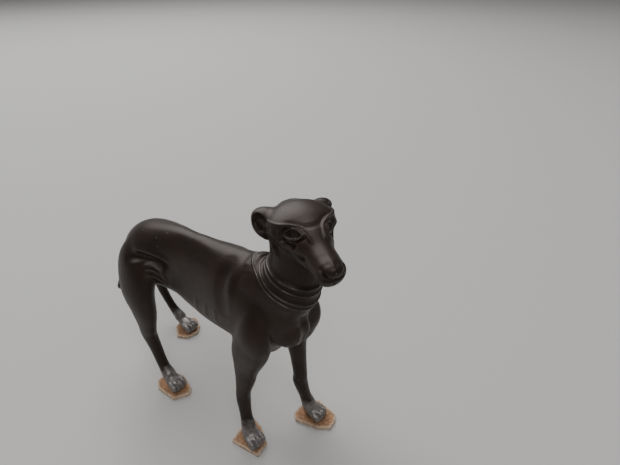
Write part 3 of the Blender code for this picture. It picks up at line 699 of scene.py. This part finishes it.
def refine(mesh, area):
    """Cuts the faces of an area in four."""
    bm = bmesh.new()
    bm.from_mesh(mesh)
    inside = area(np.array([v.co for v in bm.verts]))
    edges = [e for e in bm.edges if inside[e.verts[0].index] and inside[e.verts[1].index]]
    bmesh.ops.subdivide_edges(bm, edges=edges, cuts=1, use_grid_fill=True)
    bm.to_mesh(mesh)
    bm.free()


def model_head(skin):
    """Sets the eyes, and models the brow, the face, the nose and the ears."""
    head = head_matrix()
    front = ToolPlane((1.0, 0.0, 0.0), head)
    for side in (-1.0, 1.0):
        eye = ToolPlane((0.0, 0.0, 1.0), eye_matrix(side), straight=True)
        brow = ToolPlane((0.3, 0.6 * side, 0.8), head)
        cheek = ToolPlane((0.3, side, 0.15), head)
        ear = ToolPlane((1.0, 0.0, 0.0), ear_matrix(side), straight=True)
        skin.take_facing(16)
        skin.pare(eye, EYE_SOCKET, EYE_SOCKET_LEVEL)
        skin.press(brow, BROW_STROKES, side, (2.0, 99.0))
        middle = eye_matrix(side) @ Vector((0.0, 0.0, -EYEBALL_DEPTH))
        skin.set_ball(np.array(middle), EYEBALL_RADIUS)
        skin.take_facing(10)
        skin.press(eye, EYE_STROKES, 1.0, (-6.0, 4.0), X_AND_Y)
        skin.press(cheek, FACE_STROKES, side, (1.5, 11.0))
        skin.press(front, NOSE_STROKES, side, (17.0, 99.0), Y_AND_Z)
        x, y, z = EAR_HOLLOW_PLACE
        hollow = ear_matrix(side) @ Matrix.Translation((x, side * y, z))
        skin.pare(ToolPlane(EAR_HOLLOW_LOOK, hollow), EAR_HOLLOW, EAR_HOLLOW_LEVEL)
        skin.press(ear, EAR_STROKES, side, (-3.0, 6.0), Y_AND_Z)


def collar_slice(points):
    """Each point's place along the collar's axis, as on its front, and its way out from the axis."""
    axis = np.array(COLLAR_AXIS)
    local = points - np.array(COLLAR_PLACE)
    along = local @ axis
    out = local - along[:, None] * axis
    ahead = np.clip(out[:, 0] / COLLAR_REACH, -1.0, 1.0)
    return along / (1.0 + COLLAR_FLARE * ahead), out


def model_collar(skin):
    """A raised band round the neck, with four ridges."""
    along, out = collar_slice(skin.points)
    reach = np.linalg.norm(out, axis=1)
    edge = np.clip((COLLAR_HALF_WIDTH - np.abs(along)) / COLLAR_EDGE, 0.0, 1.0)
    band = edge * COLLAR_RAISE
    for place in COLLAR_RIDGES:
        share = np.clip(1.0 - ((along - place) / COLLAR_RIDGE_HALF_WIDTH) ** 2, 0.0, 1.0)
        band += share * COLLAR_RIDGE_HEIGHT
    band *= reach < COLLAR_LIMIT * COLLAR_REACH
    skin.points += (band / np.maximum(reach, 1e-6))[:, None] * out


def mark_raised_and_hollow(skin):
    """Writes where the skin stands out and where it is hollow, for the finish to read."""
    bend = np.clip((skin.pull() * skin.facing).sum(1) / HOLLOW_BEND, -1.0, 1.0)
    bend = np.stack([bend] * 3, 1)
    for _ in range(BEND_SPREAD):
        bend = skin.neighbours_mean(bend)
    for name, sign in (("raised", -1.0), ("hollow", 1.0)):
        layer = skin.mesh.attributes.new(name, "FLOAT", "POINT")
        layer.data.foreach_set("value", np.clip(sign * bend[:, 0], 0.0, 1.0).astype(np.float32))


def finished_mesh(obj, name):
    """The object as its modifiers leave it, as a new object that has none."""
    mesh = evaluated_mesh(obj)
    mesh.name = name
    piece = bpy.data.objects.new(name, mesh)
    bpy.context.scene.collection.objects.link(piece)
    bpy.data.objects.remove(obj)
    return piece


def flatten_soles(mesh):
    """Cuts the paws flat at the height of the soles."""
    bm = bmesh.new()
    bm.from_mesh(mesh)
    everything = bm.verts[:] + bm.edges[:] + bm.faces[:]
    bmesh.ops.bisect_plane(bm, geom=everything, plane_no=(0.0, 0.0, 1.0), clear_inner=True)
    rims = [edge for edge in bm.edges if edge.is_boundary]
    bmesh.ops.holes_fill(bm, edges=rims, sides=0)
    bmesh.ops.recalc_face_normals(bm, faces=bm.faces)
    bm.to_mesh(mesh)
    bm.free()


def figure_unit(scene):
    return scene.hound_sizes.height / FIGURE_UNITS


def frame_shift(unit):
    """Where the hound's own axes stand in the frame, read from the left fore pad."""
    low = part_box("left_fore_pad")[0]
    x, y = LEGS["left_fore"][1]
    nearest = np.array(PAD_CORNERS["left_fore"]).min(0)
    return Vector((low.x - (x + nearest[0]) * unit, low.y - (y + nearest[1]) * unit, 0.0))


def casting_place(unit):
    lift = Vector((0.0, 0.0, PAD_TOP + GLUE_GAP))
    return Matrix.Translation(frame_shift(unit) + lift) @ Matrix.Scale(unit, 4)


def modelled_hound(sizes):
    """The hound in figure units, with its raised places and hollows marked and thinned to its budget.
    """
    tail = limb_form(TAIL, sides=12)
    forms = [torso_form(), limb_form(NECK), limb_form(BREAST)]
    forms += [head_form(SKULL, MUZZLE_BLUNTNESS), head_form(CROWN, CROWN_BLUNTNESS), tail]
    forms += [ear_form(-1), ear_form(1)]
    for leg, (stations, _, _) in LEGS.items():
        forms.append(limb_form(stations))
        forms.extend(paw_forms(leg))
    obj = fuse(forms, "wax", sizes.voxel)
    fineness = SMOOTHED_AT / sizes.voxel
    skin = Skin(obj.data)
    skin.fill_creases(round(CREASE_ROUNDS * fineness**2))
    skin.smooth(round(FIRST_SMOOTHING * fineness**2))
    model_body(skin)
    skin.smooth(round(LAST_SMOOTHING * fineness**2))
    skin.write()
    refine(obj.data, head_area)
    skin = Skin(obj.data)
    model_paws(skin)
    model_collar(skin)
    model_head(skin)
    skin.smooth(1)
    skin.take_facing(2)
    mark_raised_and_hollow(skin)
    skin.write()
    flatten_soles(obj.data)
    thin = obj.modifiers.new("Budget", "DECIMATE")
    faces = sum(len(p.vertices) - 2 for p in obj.data.polygons)
    thin.ratio = min(1.0, sizes.triangles / faces)
    return finished_mesh(obj, "hound_casting")


def ridge_courses(mesh, sizes):
    """Closed courses round the neck, one for each ridge of the collar, lying on its band."""
    skin = BVHTree.FromPolygons([v.co for v in mesh.vertices], [p.vertices for p in mesh.polygons])
    across = COLLAR_AXIS.orthogonal().normalized()
    aside = COLLAR_AXIS.cross(across)
    courses = []
    for place in COLLAR_RIDGES:
        turns = [math.tau * k / RIDGE_POINTS for k in range(RIDGE_POINTS)]
        ways = [across * math.cos(t) + aside * math.sin(t) for t in turns]
        middles = [
            COLLAR_PLACE + COLLAR_AXIS * place * (1.0 + COLLAR_FLARE * way.x) for way in ways
        ]
        reach = np.array([skin.ray_cast(middle, way)[3] for middle, way in zip(middles, ways)])
        for _ in range(RIDGE_EVENING):
            reach = (np.roll(reach, 1) + reach + np.roll(reach, -1)) / 3
        out = reach - sizes.ridge_sunk
        courses.append([middle + way * r for middle, way, r in zip(middles, ways, out)])
    return courses


class Sketch:
    """Places nodes in a tree and joins them."""

    def __init__(self, tree):
        self.tree = tree

    def add(self, kind, inputs=None, **settings):
        node = self.tree.nodes.new(kind)
        for name, value in settings.items():
            setattr(node, name, value)
        for key, value in (inputs or {}).items():
            if isinstance(value, bpy.types.NodeSocket):
                self.tree.links.new(value, node.inputs[key])
            else:
                node.inputs[key].default_value = value
        return node

    def math(self, operation, a, b=0.0):
        return self.add("ShaderNodeMath", {0: a, 1: b}, operation=operation).outputs[0]

    def blend(self, share, a, b):
        """A colour part of the way from a to b."""
        a, b = (c if isinstance(c, bpy.types.NodeSocket) else (*c, 1.0) for c in (a, b))
        node = self.add("ShaderNodeMix", {0: share, 6: a, 7: b}, data_type="RGBA")
        return node.outputs[2]

    def ramp(self, value, low, high, to_low=0.0, to_high=1.0):
        inputs = {0: value, 1: low, 2: high, 3: to_low, 4: to_high}
        return self.add("ShaderNodeMapRange", inputs).outputs[0]

    def noise(self, place, scale, detail, roughness=0.5):
        inputs = {"Vector": place, "Scale": scale, "Detail": detail, "Roughness": roughness}
        return self.add("ShaderNodeTexNoise", inputs).outputs[0]

    def random_vector(self, low, high, seed):
        inputs = {"Min": low, "Max": high, "Seed": seed}
        return self.add("FunctionNodeRandomValue", inputs, data_type="FLOAT_VECTOR").outputs[0]

    def hand_out(self, geometry, finish, output):
        """Makes all of the geometry real, gives it its material and ends the tree with it."""
        whole = self.add("GeometryNodeRealizeInstances", {"Geometry": geometry})
        done = self.add("GeometryNodeSetMaterial", {0: whole.outputs[0], "Material": finish})
        self.tree.links.new(done.outputs[0], output)
        return self.tree


def nodes_tree(name, kind, inputs, output, output_kind):
    """An empty node group. Each input has a default, or the kind of a socket that has none."""
    tree = bpy.data.node_groups.new(name, kind)
    for label, default in inputs.items():
        if isinstance(default, str):
            tree.interface.new_socket(label, in_out="INPUT", socket_type="NodeSocket" + default)
            continue
        socket = "NodeSocketInt" if isinstance(default, int) else "NodeSocketFloat"
        made = tree.interface.new_socket(label, in_out="INPUT", socket_type=socket)
        made.default_value = default
    tree.interface.new_socket(output, in_out="OUTPUT", socket_type="NodeSocket" + output_kind)
    sketch = Sketch(tree)
    return sketch, sketch.add("NodeGroupInput").outputs, sketch.add("NodeGroupOutput").inputs


def run_tree(obj, tree, values):
    """Puts a Geometry Nodes tree on an object, with its inputs set by their sockets' identifiers."""
    modifier = obj.modifiers.new(tree.name, "NODES")
    modifier.node_group = tree
    for item in tree.interface.items_tree:
        if item.in_out == "INPUT" and item.name in values:
            modifier[item.identifier] = values[item.name]


def swept_ridges_tree():
    """Sweeps a round bead along every course that it is given."""
    inputs = {"Courses": "Geometry", "Bead Radius": 0.0004, "Bead Sides": 10, "Finish": "Material"}
    sketch, given, made = nodes_tree("Swept Ridges", "GeometryNodeTree", inputs, "Ridges", "Geometry")
    radius, sides = given["Bead Radius"], given["Bead Sides"]
    profile = sketch.add("GeometryNodeCurvePrimitiveCircle", {"Resolution": sides, "Radius": radius})
    inputs = {"Curve": given["Courses"], "Profile Curve": profile.outputs["Curve"]}
    bead = sketch.add("GeometryNodeCurveToMesh", inputs)
    soft = sketch.add("GeometryNodeSetShadeSmooth", {"Geometry": bead.outputs["Mesh"]})
    return sketch.hand_out(soft.outputs[0], given["Finish"], made["Ridges"])


def crumbly_cork_tree():
    """Roughens a smooth pad and beds crumbs of cork in it. Its underside stays flat."""
    inputs = {
        "Pad": "Geometry",
        "Unevenness": 0.0001,
        "Lump Size": 0.001,
        "Crumbs per Area": 1e6,
        "Crumb Radius": 0.00015,
        "Flat Below": 0.0003,
        "Seed": 1,
        "Finish": "Material",
    }
    sketch, given, made = nodes_tree("Crumbly Cork", "GeometryNodeTree", inputs, "Pad", "Geometry")
    place = sketch.add("GeometryNodeInputPosition").outputs[0]
    height = sketch.add("ShaderNodeSeparateXYZ", {0: place}).outputs["Z"]
    inputs = {0: height, 1: given["Flat Below"]}
    loose = sketch.add("FunctionNodeCompare", inputs, operation="GREATER_THAN").outputs[0]
    scale = sketch.math("DIVIDE", 1.0, given["Lump Size"])
    noise = sketch.noise(place, scale, 3.0)
    rise = sketch.math("MULTIPLY", sketch.math("SUBTRACT", noise, CORK_LEVEL), 2.0)
    rise = sketch.math("MULTIPLY", rise, given["Unevenness"])
    normal = sketch.add("GeometryNodeInputNormal").outputs[0]
    offset = sketch.add("ShaderNodeVectorMath", {0: normal, "Scale": rise}, operation="SCALE")
    inputs = {"Geometry": given["Pad"], "Selection": loose, "Offset": offset.outputs[0]}
    rough = sketch.add("GeometryNodeSetPosition", inputs).outputs[0]
    density, seed = given["Crumbs per Area"], given["Seed"]
    inputs = {"Mesh": rough, "Selection": loose, "Density": density, "Seed": seed}
    spots = sketch.add("GeometryNodeDistributePointsOnFaces", inputs)
    inputs = {"Radius": given["Crumb Radius"], "Subdivisions": 1}
    crumb = sketch.add("GeometryNodeMeshIcoSphere", inputs)
    turned = sketch.random_vector((0.0, 0.0, 0.0), (math.tau, math.tau, math.tau), seed)
    sized = sketch.random_vector(*CRUMB_SHAPES, seed)
    inputs = {"Points": spots.outputs["Points"], "Instance": crumb.outputs["Mesh"]}
    inputs.update({"Rotation": turned, "Scale": sized})
    crumbs = sketch.add("GeometryNodeInstanceOnPoints", inputs)
    both = sketch.add("GeometryNodeJoinGeometry")
    sketch.tree.links.new(crumbs.outputs[0], both.inputs[0])
    sketch.tree.links.new(rough, both.inputs[0])
    return sketch.hand_out(both.outputs[0], given["Finish"], made["Pad"])


def mottling_group():
    """Soft patches whose mask runs from 0 to 1."""
    inputs = {"Place": "Vector", "Patch Size": 0.004, "Sharpness": 0.3}
    sketch, given, made = nodes_tree("Mottling", "ShaderNodeTree", inputs, "Mask", "Float")
    scale = sketch.math("DIVIDE", 1.0, given["Patch Size"])
    noise = sketch.noise(given["Place"], scale, 5.0, 0.55)
    low = sketch.math("SUBTRACT", 0.5, given["Sharpness"])
    high = sketch.math("ADD", 0.5, given["Sharpness"])
    sketch.tree.links.new(sketch.ramp(noise, low, high), made["Mask"])
    return sketch.tree


def specks_group():
    """Small scattered specks, such as dust or grains, on some cells of a fine pattern."""
    inputs = {"Place": "Vector", "Spacing": 0.002, "Speck Share": 0.12, "Share of Cells": 0.2}
    sketch, given, made = nodes_tree("Specks", "ShaderNodeTree", inputs, "Mask", "Float")
    scale = sketch.math("DIVIDE", 1.0, given["Spacing"])
    cells = sketch.add("ShaderNodeTexVoronoi", {"Vector": given["Place"], "Scale": scale})
    chance = sketch.add("ShaderNodeSeparateColor", {0: cells.outputs["Color"]}).outputs[0]
    chosen = sketch.math("LESS_THAN", chance, given["Share of Cells"])
    inner = sketch.math("MULTIPLY", given["Speck Share"], 0.5)
    spot = sketch.ramp(cells.outputs["Distance"], given["Speck Share"], inner)
    sketch.tree.links.new(sketch.math("MULTIPLY", spot, chosen), made["Mask"])
    return sketch.tree


def rubbed_paws_group():
    """Bare metal on the paws, with a ragged upper edge and patches of finish left."""
    inputs = {"Place": "Vector", "Rubbed To": 0.009, "Ragged By": 0.004, "Patch Size": 0.003}
    sketch, given, made = nodes_tree("Rubbed Paws", "ShaderNodeTree", inputs, "Mask", "Float")
    height = sketch.add("ShaderNodeSeparateXYZ", {0: given["Place"]}).outputs["Z"]
    scale = sketch.math("DIVIDE", 1.0, given["Patch Size"])
    noise = sketch.noise(given["Place"], scale, 4.0)
    shift = sketch.math("SUBTRACT", noise, 0.5)
    shift = sketch.math("MULTIPLY", shift, sketch.math("MULTIPLY", given["Ragged By"], 2.0))
    top = sketch.math("ADD", given["Rubbed To"], shift)
    above = sketch.math("SUBTRACT", height, top)
    share = sketch.math("DIVIDE", above, given["Ragged By"])
    sketch.tree.links.new(sketch.ramp(share, 0.5, -0.5), made["Mask"])
    return sketch.tree


def new_material(name):
    material = bpy.data.materials.new(name)
    material.use_nodes = True
    sketch = Sketch(material.node_tree)
    return material, sketch, material.node_tree.nodes["Principled BSDF"]


MASKS = {"Mottling": mottling_group, "Specks": specks_group, "Rubbed Paws": rubbed_paws_group}


def mask_from(sketch, name, place, **values):
    """A mask from the group of that name, which is made when it is first used."""
    tree = bpy.data.node_groups.get(name) or MASKS[name]()
    node = sketch.add("ShaderNodeGroup", {"Place": place}, node_tree=tree)
    for label, value in values.items():
        node.inputs[label.replace("_", " ")].default_value = value
    return node.outputs["Mask"]


def ridge_wear_and_highlight_material(finish):
    """The casting's metal on the collar's ridges, lighter and shinier than the patina: partly rubbed
    wear, partly a painted highlight along the ridges.
    """
    material, sketch, shader = new_material("Rubbed Ridges and Painted Highlight")
    place = sketch.add("ShaderNodeTexCoord").outputs["Object"]
    patches = mask_from(sketch, "Mottling", place, Patch_Size=0.003, Sharpness=0.2)
    # The lighter ridge colour is partly rubbed wear and partly a painted highlight.
    colour = sketch.blend(patches, finish.ridge, finish.warm_patina)
    sketch.tree.links.new(colour, shader.inputs["Base Color"])
    shader.inputs["Metallic"].default_value = 0.6
    shader.inputs["Roughness"].default_value = 0.3
    return material


def casting_material(finish):
    """Near-black satin patina, warmer in the hollows, rubbed to grey metal on the paws, and lighter on
    raised edges, partly as rubbed wear and partly as a painted highlight.
    """
    material, sketch, shader = new_material("Dark Satin Casting")
    place = sketch.add("ShaderNodeTexCoord").outputs["Object"]
    hollow = sketch.add("ShaderNodeAttribute", attribute_name="hollow").outputs["Fac"]
    raised = sketch.add("ShaderNodeAttribute", attribute_name="raised").outputs["Fac"]
    patches = mask_from(sketch, "Mottling", place, Patch_Size=0.007, Sharpness=0.25)
    clouds = mask_from(sketch, "Mottling", place, Patch_Size=0.0012, Sharpness=0.3)
    colour = sketch.blend(patches, finish.patina, finish.warm_patina)
    colour = sketch.blend(hollow, colour, finish.hollow_tint)
    rubbed = mask_from(sketch, "Rubbed Paws", place)
    left = sketch.ramp(clouds, 0.1, 0.7, 0.45, 1.0)
    metal_share = sketch.math("MULTIPLY", rubbed, left)
    metal_share = sketch.math("MULTIPLY", metal_share, sketch.ramp(hollow, 0.1, 0.6, 1.0, 0.1))
    # Raised edges, such as the brow, the ear rims, the nose tip and the collar, are lightened towards
    # the bare metal colour: partly rubbed wear on high places, partly a painted highlight.
    edges = sketch.math("MULTIPLY", sketch.ramp(raised, 0.35, 0.9), 0.35)
    metal_share = sketch.math("MAXIMUM", metal_share, edges)
    colour = sketch.blend(metal_share, colour, finish.bare_metal_and_highlight)
    dust = mask_from(sketch, "Specks", place, Spacing=0.0019, Share_of_Cells=0.06)
    colour = sketch.blend(sketch.math("MULTIPLY", dust, 0.5), colour, finish.dust)
    rough = sketch.ramp(clouds, 0.0, 1.0, finish.roughness - 0.04, finish.roughness + 0.06)
    rough = sketch.math("MAXIMUM", rough, sketch.math("MULTIPLY", dust, 0.7))
    grain = sketch.noise(place, GRAIN_SCALE, 3.0)
    swell = sketch.noise(place, SWELL_SCALE, 2.0)
    height = sketch.math("ADD", swell, sketch.math("MULTIPLY", grain, 0.25))
    bump = sketch.add("ShaderNodeBump", {"Strength": 0.16, "Distance": 0.0002, "Height": height})
    links = sketch.tree.links
    links.new(colour, shader.inputs["Base Color"])
    links.new(rough, shader.inputs["Roughness"])
    links.new(sketch.math("MULTIPLY", metal_share, 0.75), shader.inputs["Metallic"])
    links.new(bump.outputs[0], shader.inputs["Normal"])
    shader.inputs["Specular IOR Level"].default_value = 0.32
    shader.inputs["Specular Tint"].default_value = (1.0, 0.88, 0.82, 1.0)
    return material


def cork_material(finish):
    """Pressed cork crumbs, tan to dark brown, paler on the cut edges."""
    material, sketch, shader = new_material("Cut Cork")
    place = sketch.add("ShaderNodeTexCoord").outputs["Object"]
    rim = sketch.add("ShaderNodeAttribute", attribute_name="rim").outputs["Fac"]
    crumbs = sketch.add("ShaderNodeTexVoronoi", {"Vector": place, "Scale": CRUMB_SCALE})
    tone = sketch.add("ShaderNodeSeparateColor", {0: crumbs.outputs["Color"]}).outputs[0]
    patches = mask_from(sketch, "Mottling", place, Patch_Size=0.0035, Sharpness=0.25)
    colour = sketch.blend(tone, finish.cork, finish.cork_brown)
    colour = sketch.blend(sketch.math("MULTIPLY", patches, 0.5), colour, finish.cork_soiled)
    dark = mask_from(sketch, "Specks", place, Spacing=0.0011, Speck_Share=0.3)
    colour = sketch.blend(sketch.math("MULTIPLY", dark, 0.8), colour, finish.cork_speck)
    fray = sketch.noise(place, FRAY_SCALE, 3.0)
    worn = sketch.math("MULTIPLY", rim, sketch.ramp(fray, 0.35, 0.6, 0.35, 1.0))
    colour = sketch.blend(worn, colour, finish.cork_edge)
    height = sketch.math("ADD", crumbs.outputs["Distance"], fray)
    bump = sketch.add("ShaderNodeBump", {"Strength": 0.5, "Distance": 0.00015, "Height": height})
    shader.inputs["Roughness"].default_value = 0.9
    sketch.tree.links.new(colour, shader.inputs["Base Color"])
    sketch.tree.links.new(bump.outputs[0], shader.inputs["Normal"])
    return material


def pad_form(leg, unit):
    """A closed slab on the pad's outline, remeshed finely, with its cut rim marked."""
    x, y = LEGS[leg][1]
    shift = frame_shift(unit)
    bm = bmesh.new()
    outline = [((x + a) * unit + shift.x, (y + b) * unit + shift.y) for a, b in PAD_CORNERS[leg]]
    face = bm.faces.new([bm.verts.new((a, b, 0.0)) for a, b in outline])
    raised = bmesh.ops.extrude_face_region(bm, geom=[face])["geom"]
    top = [item for item in raised if isinstance(item, bmesh.types.BMVert)]
    bmesh.ops.translate(bm, verts=top, vec=(0.0, 0.0, PAD_TOP))
    bmesh.ops.recalc_face_normals(bm, faces=bm.faces)
    slab = fuse([bm], "slab", CORK_VOXEL)
    skin = Skin(slab.data)
    skin.smooth(2)
    skin.points[:, 2] = np.clip(skin.points[:, 2], 0.0, PAD_TOP)
    skin.write()
    corners = np.array(outline)
    reach = np.full(len(skin.points), np.inf)
    for start, end in zip(corners, np.roll(corners, -1, axis=0)):
        span = end - start
        spot = skin.points[:, :2] - start
        share = np.clip(spot @ span / (span @ span), 0.0, 1.0)
        reach = np.minimum(reach, np.hypot(*(spot - share[:, None] * span).T))
    rim = np.clip(1.0 - reach / RIM_WIDTH, 0.0, 1.0).astype(np.float32)
    slab.data.attributes.new("rim", "FLOAT", "POINT").data.foreach_set("value", rim)
    return slab


def amount(name, description, default, unit="NONE"):
    return bpy.props.FloatProperty(name=name, description=description, default=default, unit=unit)


def count(name, description, default):
    return bpy.props.IntProperty(name=name, description=description, default=default)


def colour(name, description, default):
    return bpy.props.FloatVectorProperty(
        name=name, description=description, subtype="COLOR", default=default
    )


class HoundSizes(bpy.types.PropertyGroup):
    height: amount("Hound Height", "Soles to the crown of the skull", 0.098, "LENGTH")
    voxel: amount("Modelling Voxel", "Remesh size in figure units", 0.3)
    triangles: count("Triangles", "Most triangles that the casting keeps", 185000)


class CollarSizes(bpy.types.PropertyGroup):
    ridge_radius: amount("Ridge Radius", "Radius of each bead round the collar, in figure units", 0.26)
    ridge_sunk: amount(
        "Ridge Depth", "Figure units from the band in to a bead's middle, or out below zero", -0.05
    )


class CastingFinish(bpy.types.PropertyGroup):
    patina: colour("Patina", "Main colour", (0.012, 0.0088, 0.0078))
    warm_patina: colour("Warm Patina", "Colour of the warmer patches", (0.028, 0.0175, 0.0135))
    hollow_tint: colour("Hollows", "Colour in the creases", (0.015, 0.007, 0.0052))
    # This colour also lightens the casting's raised edges, partly as rubbed wear and partly as a
    # painted highlight.
    bare_metal_and_highlight: colour("Bare Metal and Painted Highlight", "Colour where the finish is rubbed away", (0.29, 0.27, 0.262))
    # The ridge colour is partly rubbed wear and partly a painted highlight along the collar's ridges.
    ridge: colour("Rubbed Ridges and Painted Highlight", "Colour of the rubbed ridges of the collar", (0.12, 0.11, 0.105))
    dust: colour("Dust", "Colour of the specks", (0.42, 0.4, 0.37))
    roughness: amount("Roughness", "Roughness of the satin patina", 0.4)


class CorkFinish(bpy.types.PropertyGroup):
    cork: colour("Cork", "Lighter crumbs", (0.46, 0.25, 0.12))
    cork_brown: colour("Brown Cork", "Darker crumbs", (0.24, 0.125, 0.065))
    cork_soiled: colour("Soiled Cork", "Dirty patches", (0.15, 0.1, 0.075))
    cork_speck: colour("Bark Specks", "Dark specks", (0.06, 0.032, 0.02))
    cork_edge: colour("Cut Edge", "Pale cut rim", (0.6, 0.48, 0.36))
    crumb_radius: amount("Crumb Radius", "Radius of a cork crumb", 0.00016, "LENGTH")
    unevenness: amount("Unevenness", "How rough the cork's skin is", 0.00012, "LENGTH")


class StudioSettings(bpy.types.PropertyGroup):
    floor_colour: colour("Floor", "Colour of the floor", (0.47, 0.46, 0.45))
    key_power: amount("Key Light", "Power of the light overhead", 24.0, "POWER")
    back_power: amount("Back Light", "Power of the light behind", 24.0, "POWER")
    fill_power: amount("Fill Light", "Power of the light in front", 6.0, "POWER")
    sky_strength: amount("Sky", "Strength of the even light all round", 0.1)


class GREYHOUND_OT_casting(bpy.types.Operator):
    """Models the hound and its collar's band"""

    bl_idname = "greyhound.casting"
    bl_label = "Greyhound Casting"

    def execute(self, context):
        sizes = context.scene.hound_sizes
        hound = modelled_hound(sizes)
        hound["courses"] = [
            [list(point) for point in course]
            for course in ridge_courses(hound.data, context.scene.collar_sizes)
        ]
        hound.data.transform(casting_place(figure_unit(context.scene)))
        hound.data.materials.clear()
        hound.data.materials.append(casting_material(context.scene.casting_finish))
        hound.data.shade_smooth()
        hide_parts("greyhound")
        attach(hound, "root")
        return {"FINISHED"}


class GREYHOUND_OT_collar_ridges(bpy.types.Operator):
    """Sweeps the collar's four ridges round the neck"""

    bl_idname = "greyhound.collar_ridges"
    bl_label = "Collar Ridges"

    def execute(self, context):
        sizes = context.scene.collar_sizes
        unit = figure_unit(context.scene)
        place = casting_place(unit)
        hound = bpy.data.objects["hound_casting"]
        line = bpy.data.curves.new("ridge courses", "CURVE")
        line.dimensions = "3D"
        for course in hound["courses"]:
            spline = line.splines.new("POLY")
            spline.points.add(len(course) - 1)
            spline.use_cyclic_u = True
            for knot, point in zip(spline.points, course):
                knot.co = (*(place @ Vector(point)), 1.0)
        del hound["courses"]
        obj = bpy.data.objects.new("ridge courses", line)
        context.scene.collection.objects.link(obj)
        # The ridges' lighter finish is partly rubbed wear, partly a painted highlight.
        finish = ridge_wear_and_highlight_material(context.scene.casting_finish)
        values = {"Bead Radius": sizes.ridge_radius * unit, "Finish": finish}
        run_tree(obj, swept_ridges_tree(), values)
        ridges = finished_mesh(obj, "collar_ridges")
        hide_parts("greyhound")
        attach(ridges, "root")
        return {"FINISHED"}


class GREYHOUND_OT_pads(bpy.types.Operator):
    """Cuts the cork pads under the paws"""

    bl_idname = "greyhound.pads"
    bl_label = "Cork Pads"

    def execute(self, context):
        finish = context.scene.cork_finish
        unit = figure_unit(context.scene)
        tree = crumbly_cork_tree()
        values = {
            "Unevenness": finish.unevenness,
            "Crumb Radius": finish.crumb_radius,
            "Finish": cork_material(finish),
        }
        for seed, leg in enumerate(LEGS, 1):
            slab = pad_form(leg, unit)
            run_tree(slab, tree, {**values, "Seed": seed})
            pad = finished_mesh(slab, leg + "_cork")
            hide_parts(leg + "_pad")
            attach(pad, "root")
        return {"FINISHED"}


class GREYHOUND_OT_studio(bpy.types.Operator):
    """Lays the floor and sets the lights and the camera"""

    bl_idname = "greyhound.studio"
    bl_label = "Studio"

    def execute(self, context):
        settings = context.scene.studio_settings
        floor_mesh = bpy.data.meshes.new("floor")
        bm = bmesh.new()
        bmesh.ops.create_grid(bm, x_segments=2, y_segments=2, size=FLOOR_REACH)
        bm.to_mesh(floor_mesh)
        bm.free()
        floor = bpy.data.objects.new("floor", floor_mesh)
        context.scene.collection.objects.link(floor)
        material, _, shader = new_material("Pale Floor")
        shader.inputs["Base Color"].default_value = (*settings.floor_colour, 1.0)
        shader.inputs["Roughness"].default_value = FLOOR_ROUGHNESS
        floor_mesh.materials.append(material)
        world = bpy.data.worlds.new("Studio Sky")
        world.use_nodes = True
        sky = world.node_tree.nodes["Background"].inputs
        sky["Strength"].default_value = settings.sky_strength
        sky["Color"].default_value = SKY_COLOUR
        context.scene.world = world
        # Each light's place, its size and its power.
        lights = (
            ("ceiling", (0.0, 0.0, 2.6), 5.0, settings.key_power),
            ("back", (-0.8, 0.35, 1.15), 1.4, settings.back_power),
            ("fill", (0.75, -0.55, 1.15), 0.7, settings.fill_power),
        )
        for name, place, size, power in lights:
            lamp = bpy.data.lights.new(name, "AREA")
            lamp.size = size
            lamp.energy = power
            light = bpy.data.objects.new(name, lamp)
            light.location = place
            aim = LIT_PLACE - Vector(place)
            light.rotation_euler = aim.to_track_quat("-Z", "Y").to_euler()
            light.visible_camera = False
            context.scene.collection.objects.link(light)
        camera = bpy.data.objects.new("camera", bpy.data.cameras.new("camera"))
        camera.data.sensor_width = CAMERA_SENSOR
        camera.data.lens = CAMERA_LENS
        camera.data.clip_start = CAMERA_CLIP
        unit = figure_unit(context.scene)
        camera.location = CAMERA_PLACE + frame_shift(unit)
        camera.rotation_euler = CAMERA_VIEW.to_track_quat("-Z", "Y").to_euler()
        context.scene.collection.objects.link(camera)
        context.scene.camera = camera
        return {"FINISHED"}


OPERATORS = (
    GREYHOUND_OT_casting,
    GREYHOUND_OT_collar_ridges,
    GREYHOUND_OT_pads,
    GREYHOUND_OT_studio,
)
GROUPS = {
    "hound_sizes": HoundSizes,
    "collar_sizes": CollarSizes,
    "casting_finish": CastingFinish,
    "cork_finish": CorkFinish,
    "studio_settings": StudioSettings,
}


class GREYHOUND_PT_panel(bpy.types.Panel):
    """Lists the hound's sizes and finishes, and the steps that make it"""

    bl_idname = "GREYHOUND_PT_panel"
    bl_label = "Greyhound"
    bl_space_type = "VIEW_3D"
    bl_region_type = "UI"
    bl_category = "Greyhound"

    def draw(self, context):
        for attribute, group in GROUPS.items():
            settings = getattr(context.scene, attribute)
            column = self.layout.column(align=True)
            for name in group.__annotations__:
                column.prop(settings, name)
        for operator in OPERATORS:
            self.layout.operator(operator.bl_idname)


def register():
    for cls in (*GROUPS.values(), *OPERATORS, GREYHOUND_PT_panel):
        bpy.utils.register_class(cls)
    for attribute, group in GROUPS.items():
        setattr(bpy.types.Scene, attribute, bpy.props.PointerProperty(type=group))


def unregister():
    for attribute in GROUPS:
        delattr(bpy.types.Scene, attribute)
    for cls in reversed((*GROUPS.values(), *OPERATORS, GREYHOUND_PT_panel)):
        bpy.utils.unregister_class(cls)


def main():
    register()
    bpy.ops.greyhound.casting()
    bpy.ops.greyhound.collar_ridges()
    bpy.ops.greyhound.pads()
    bpy.ops.greyhound.studio()


if __name__ == "__main__":
    main()
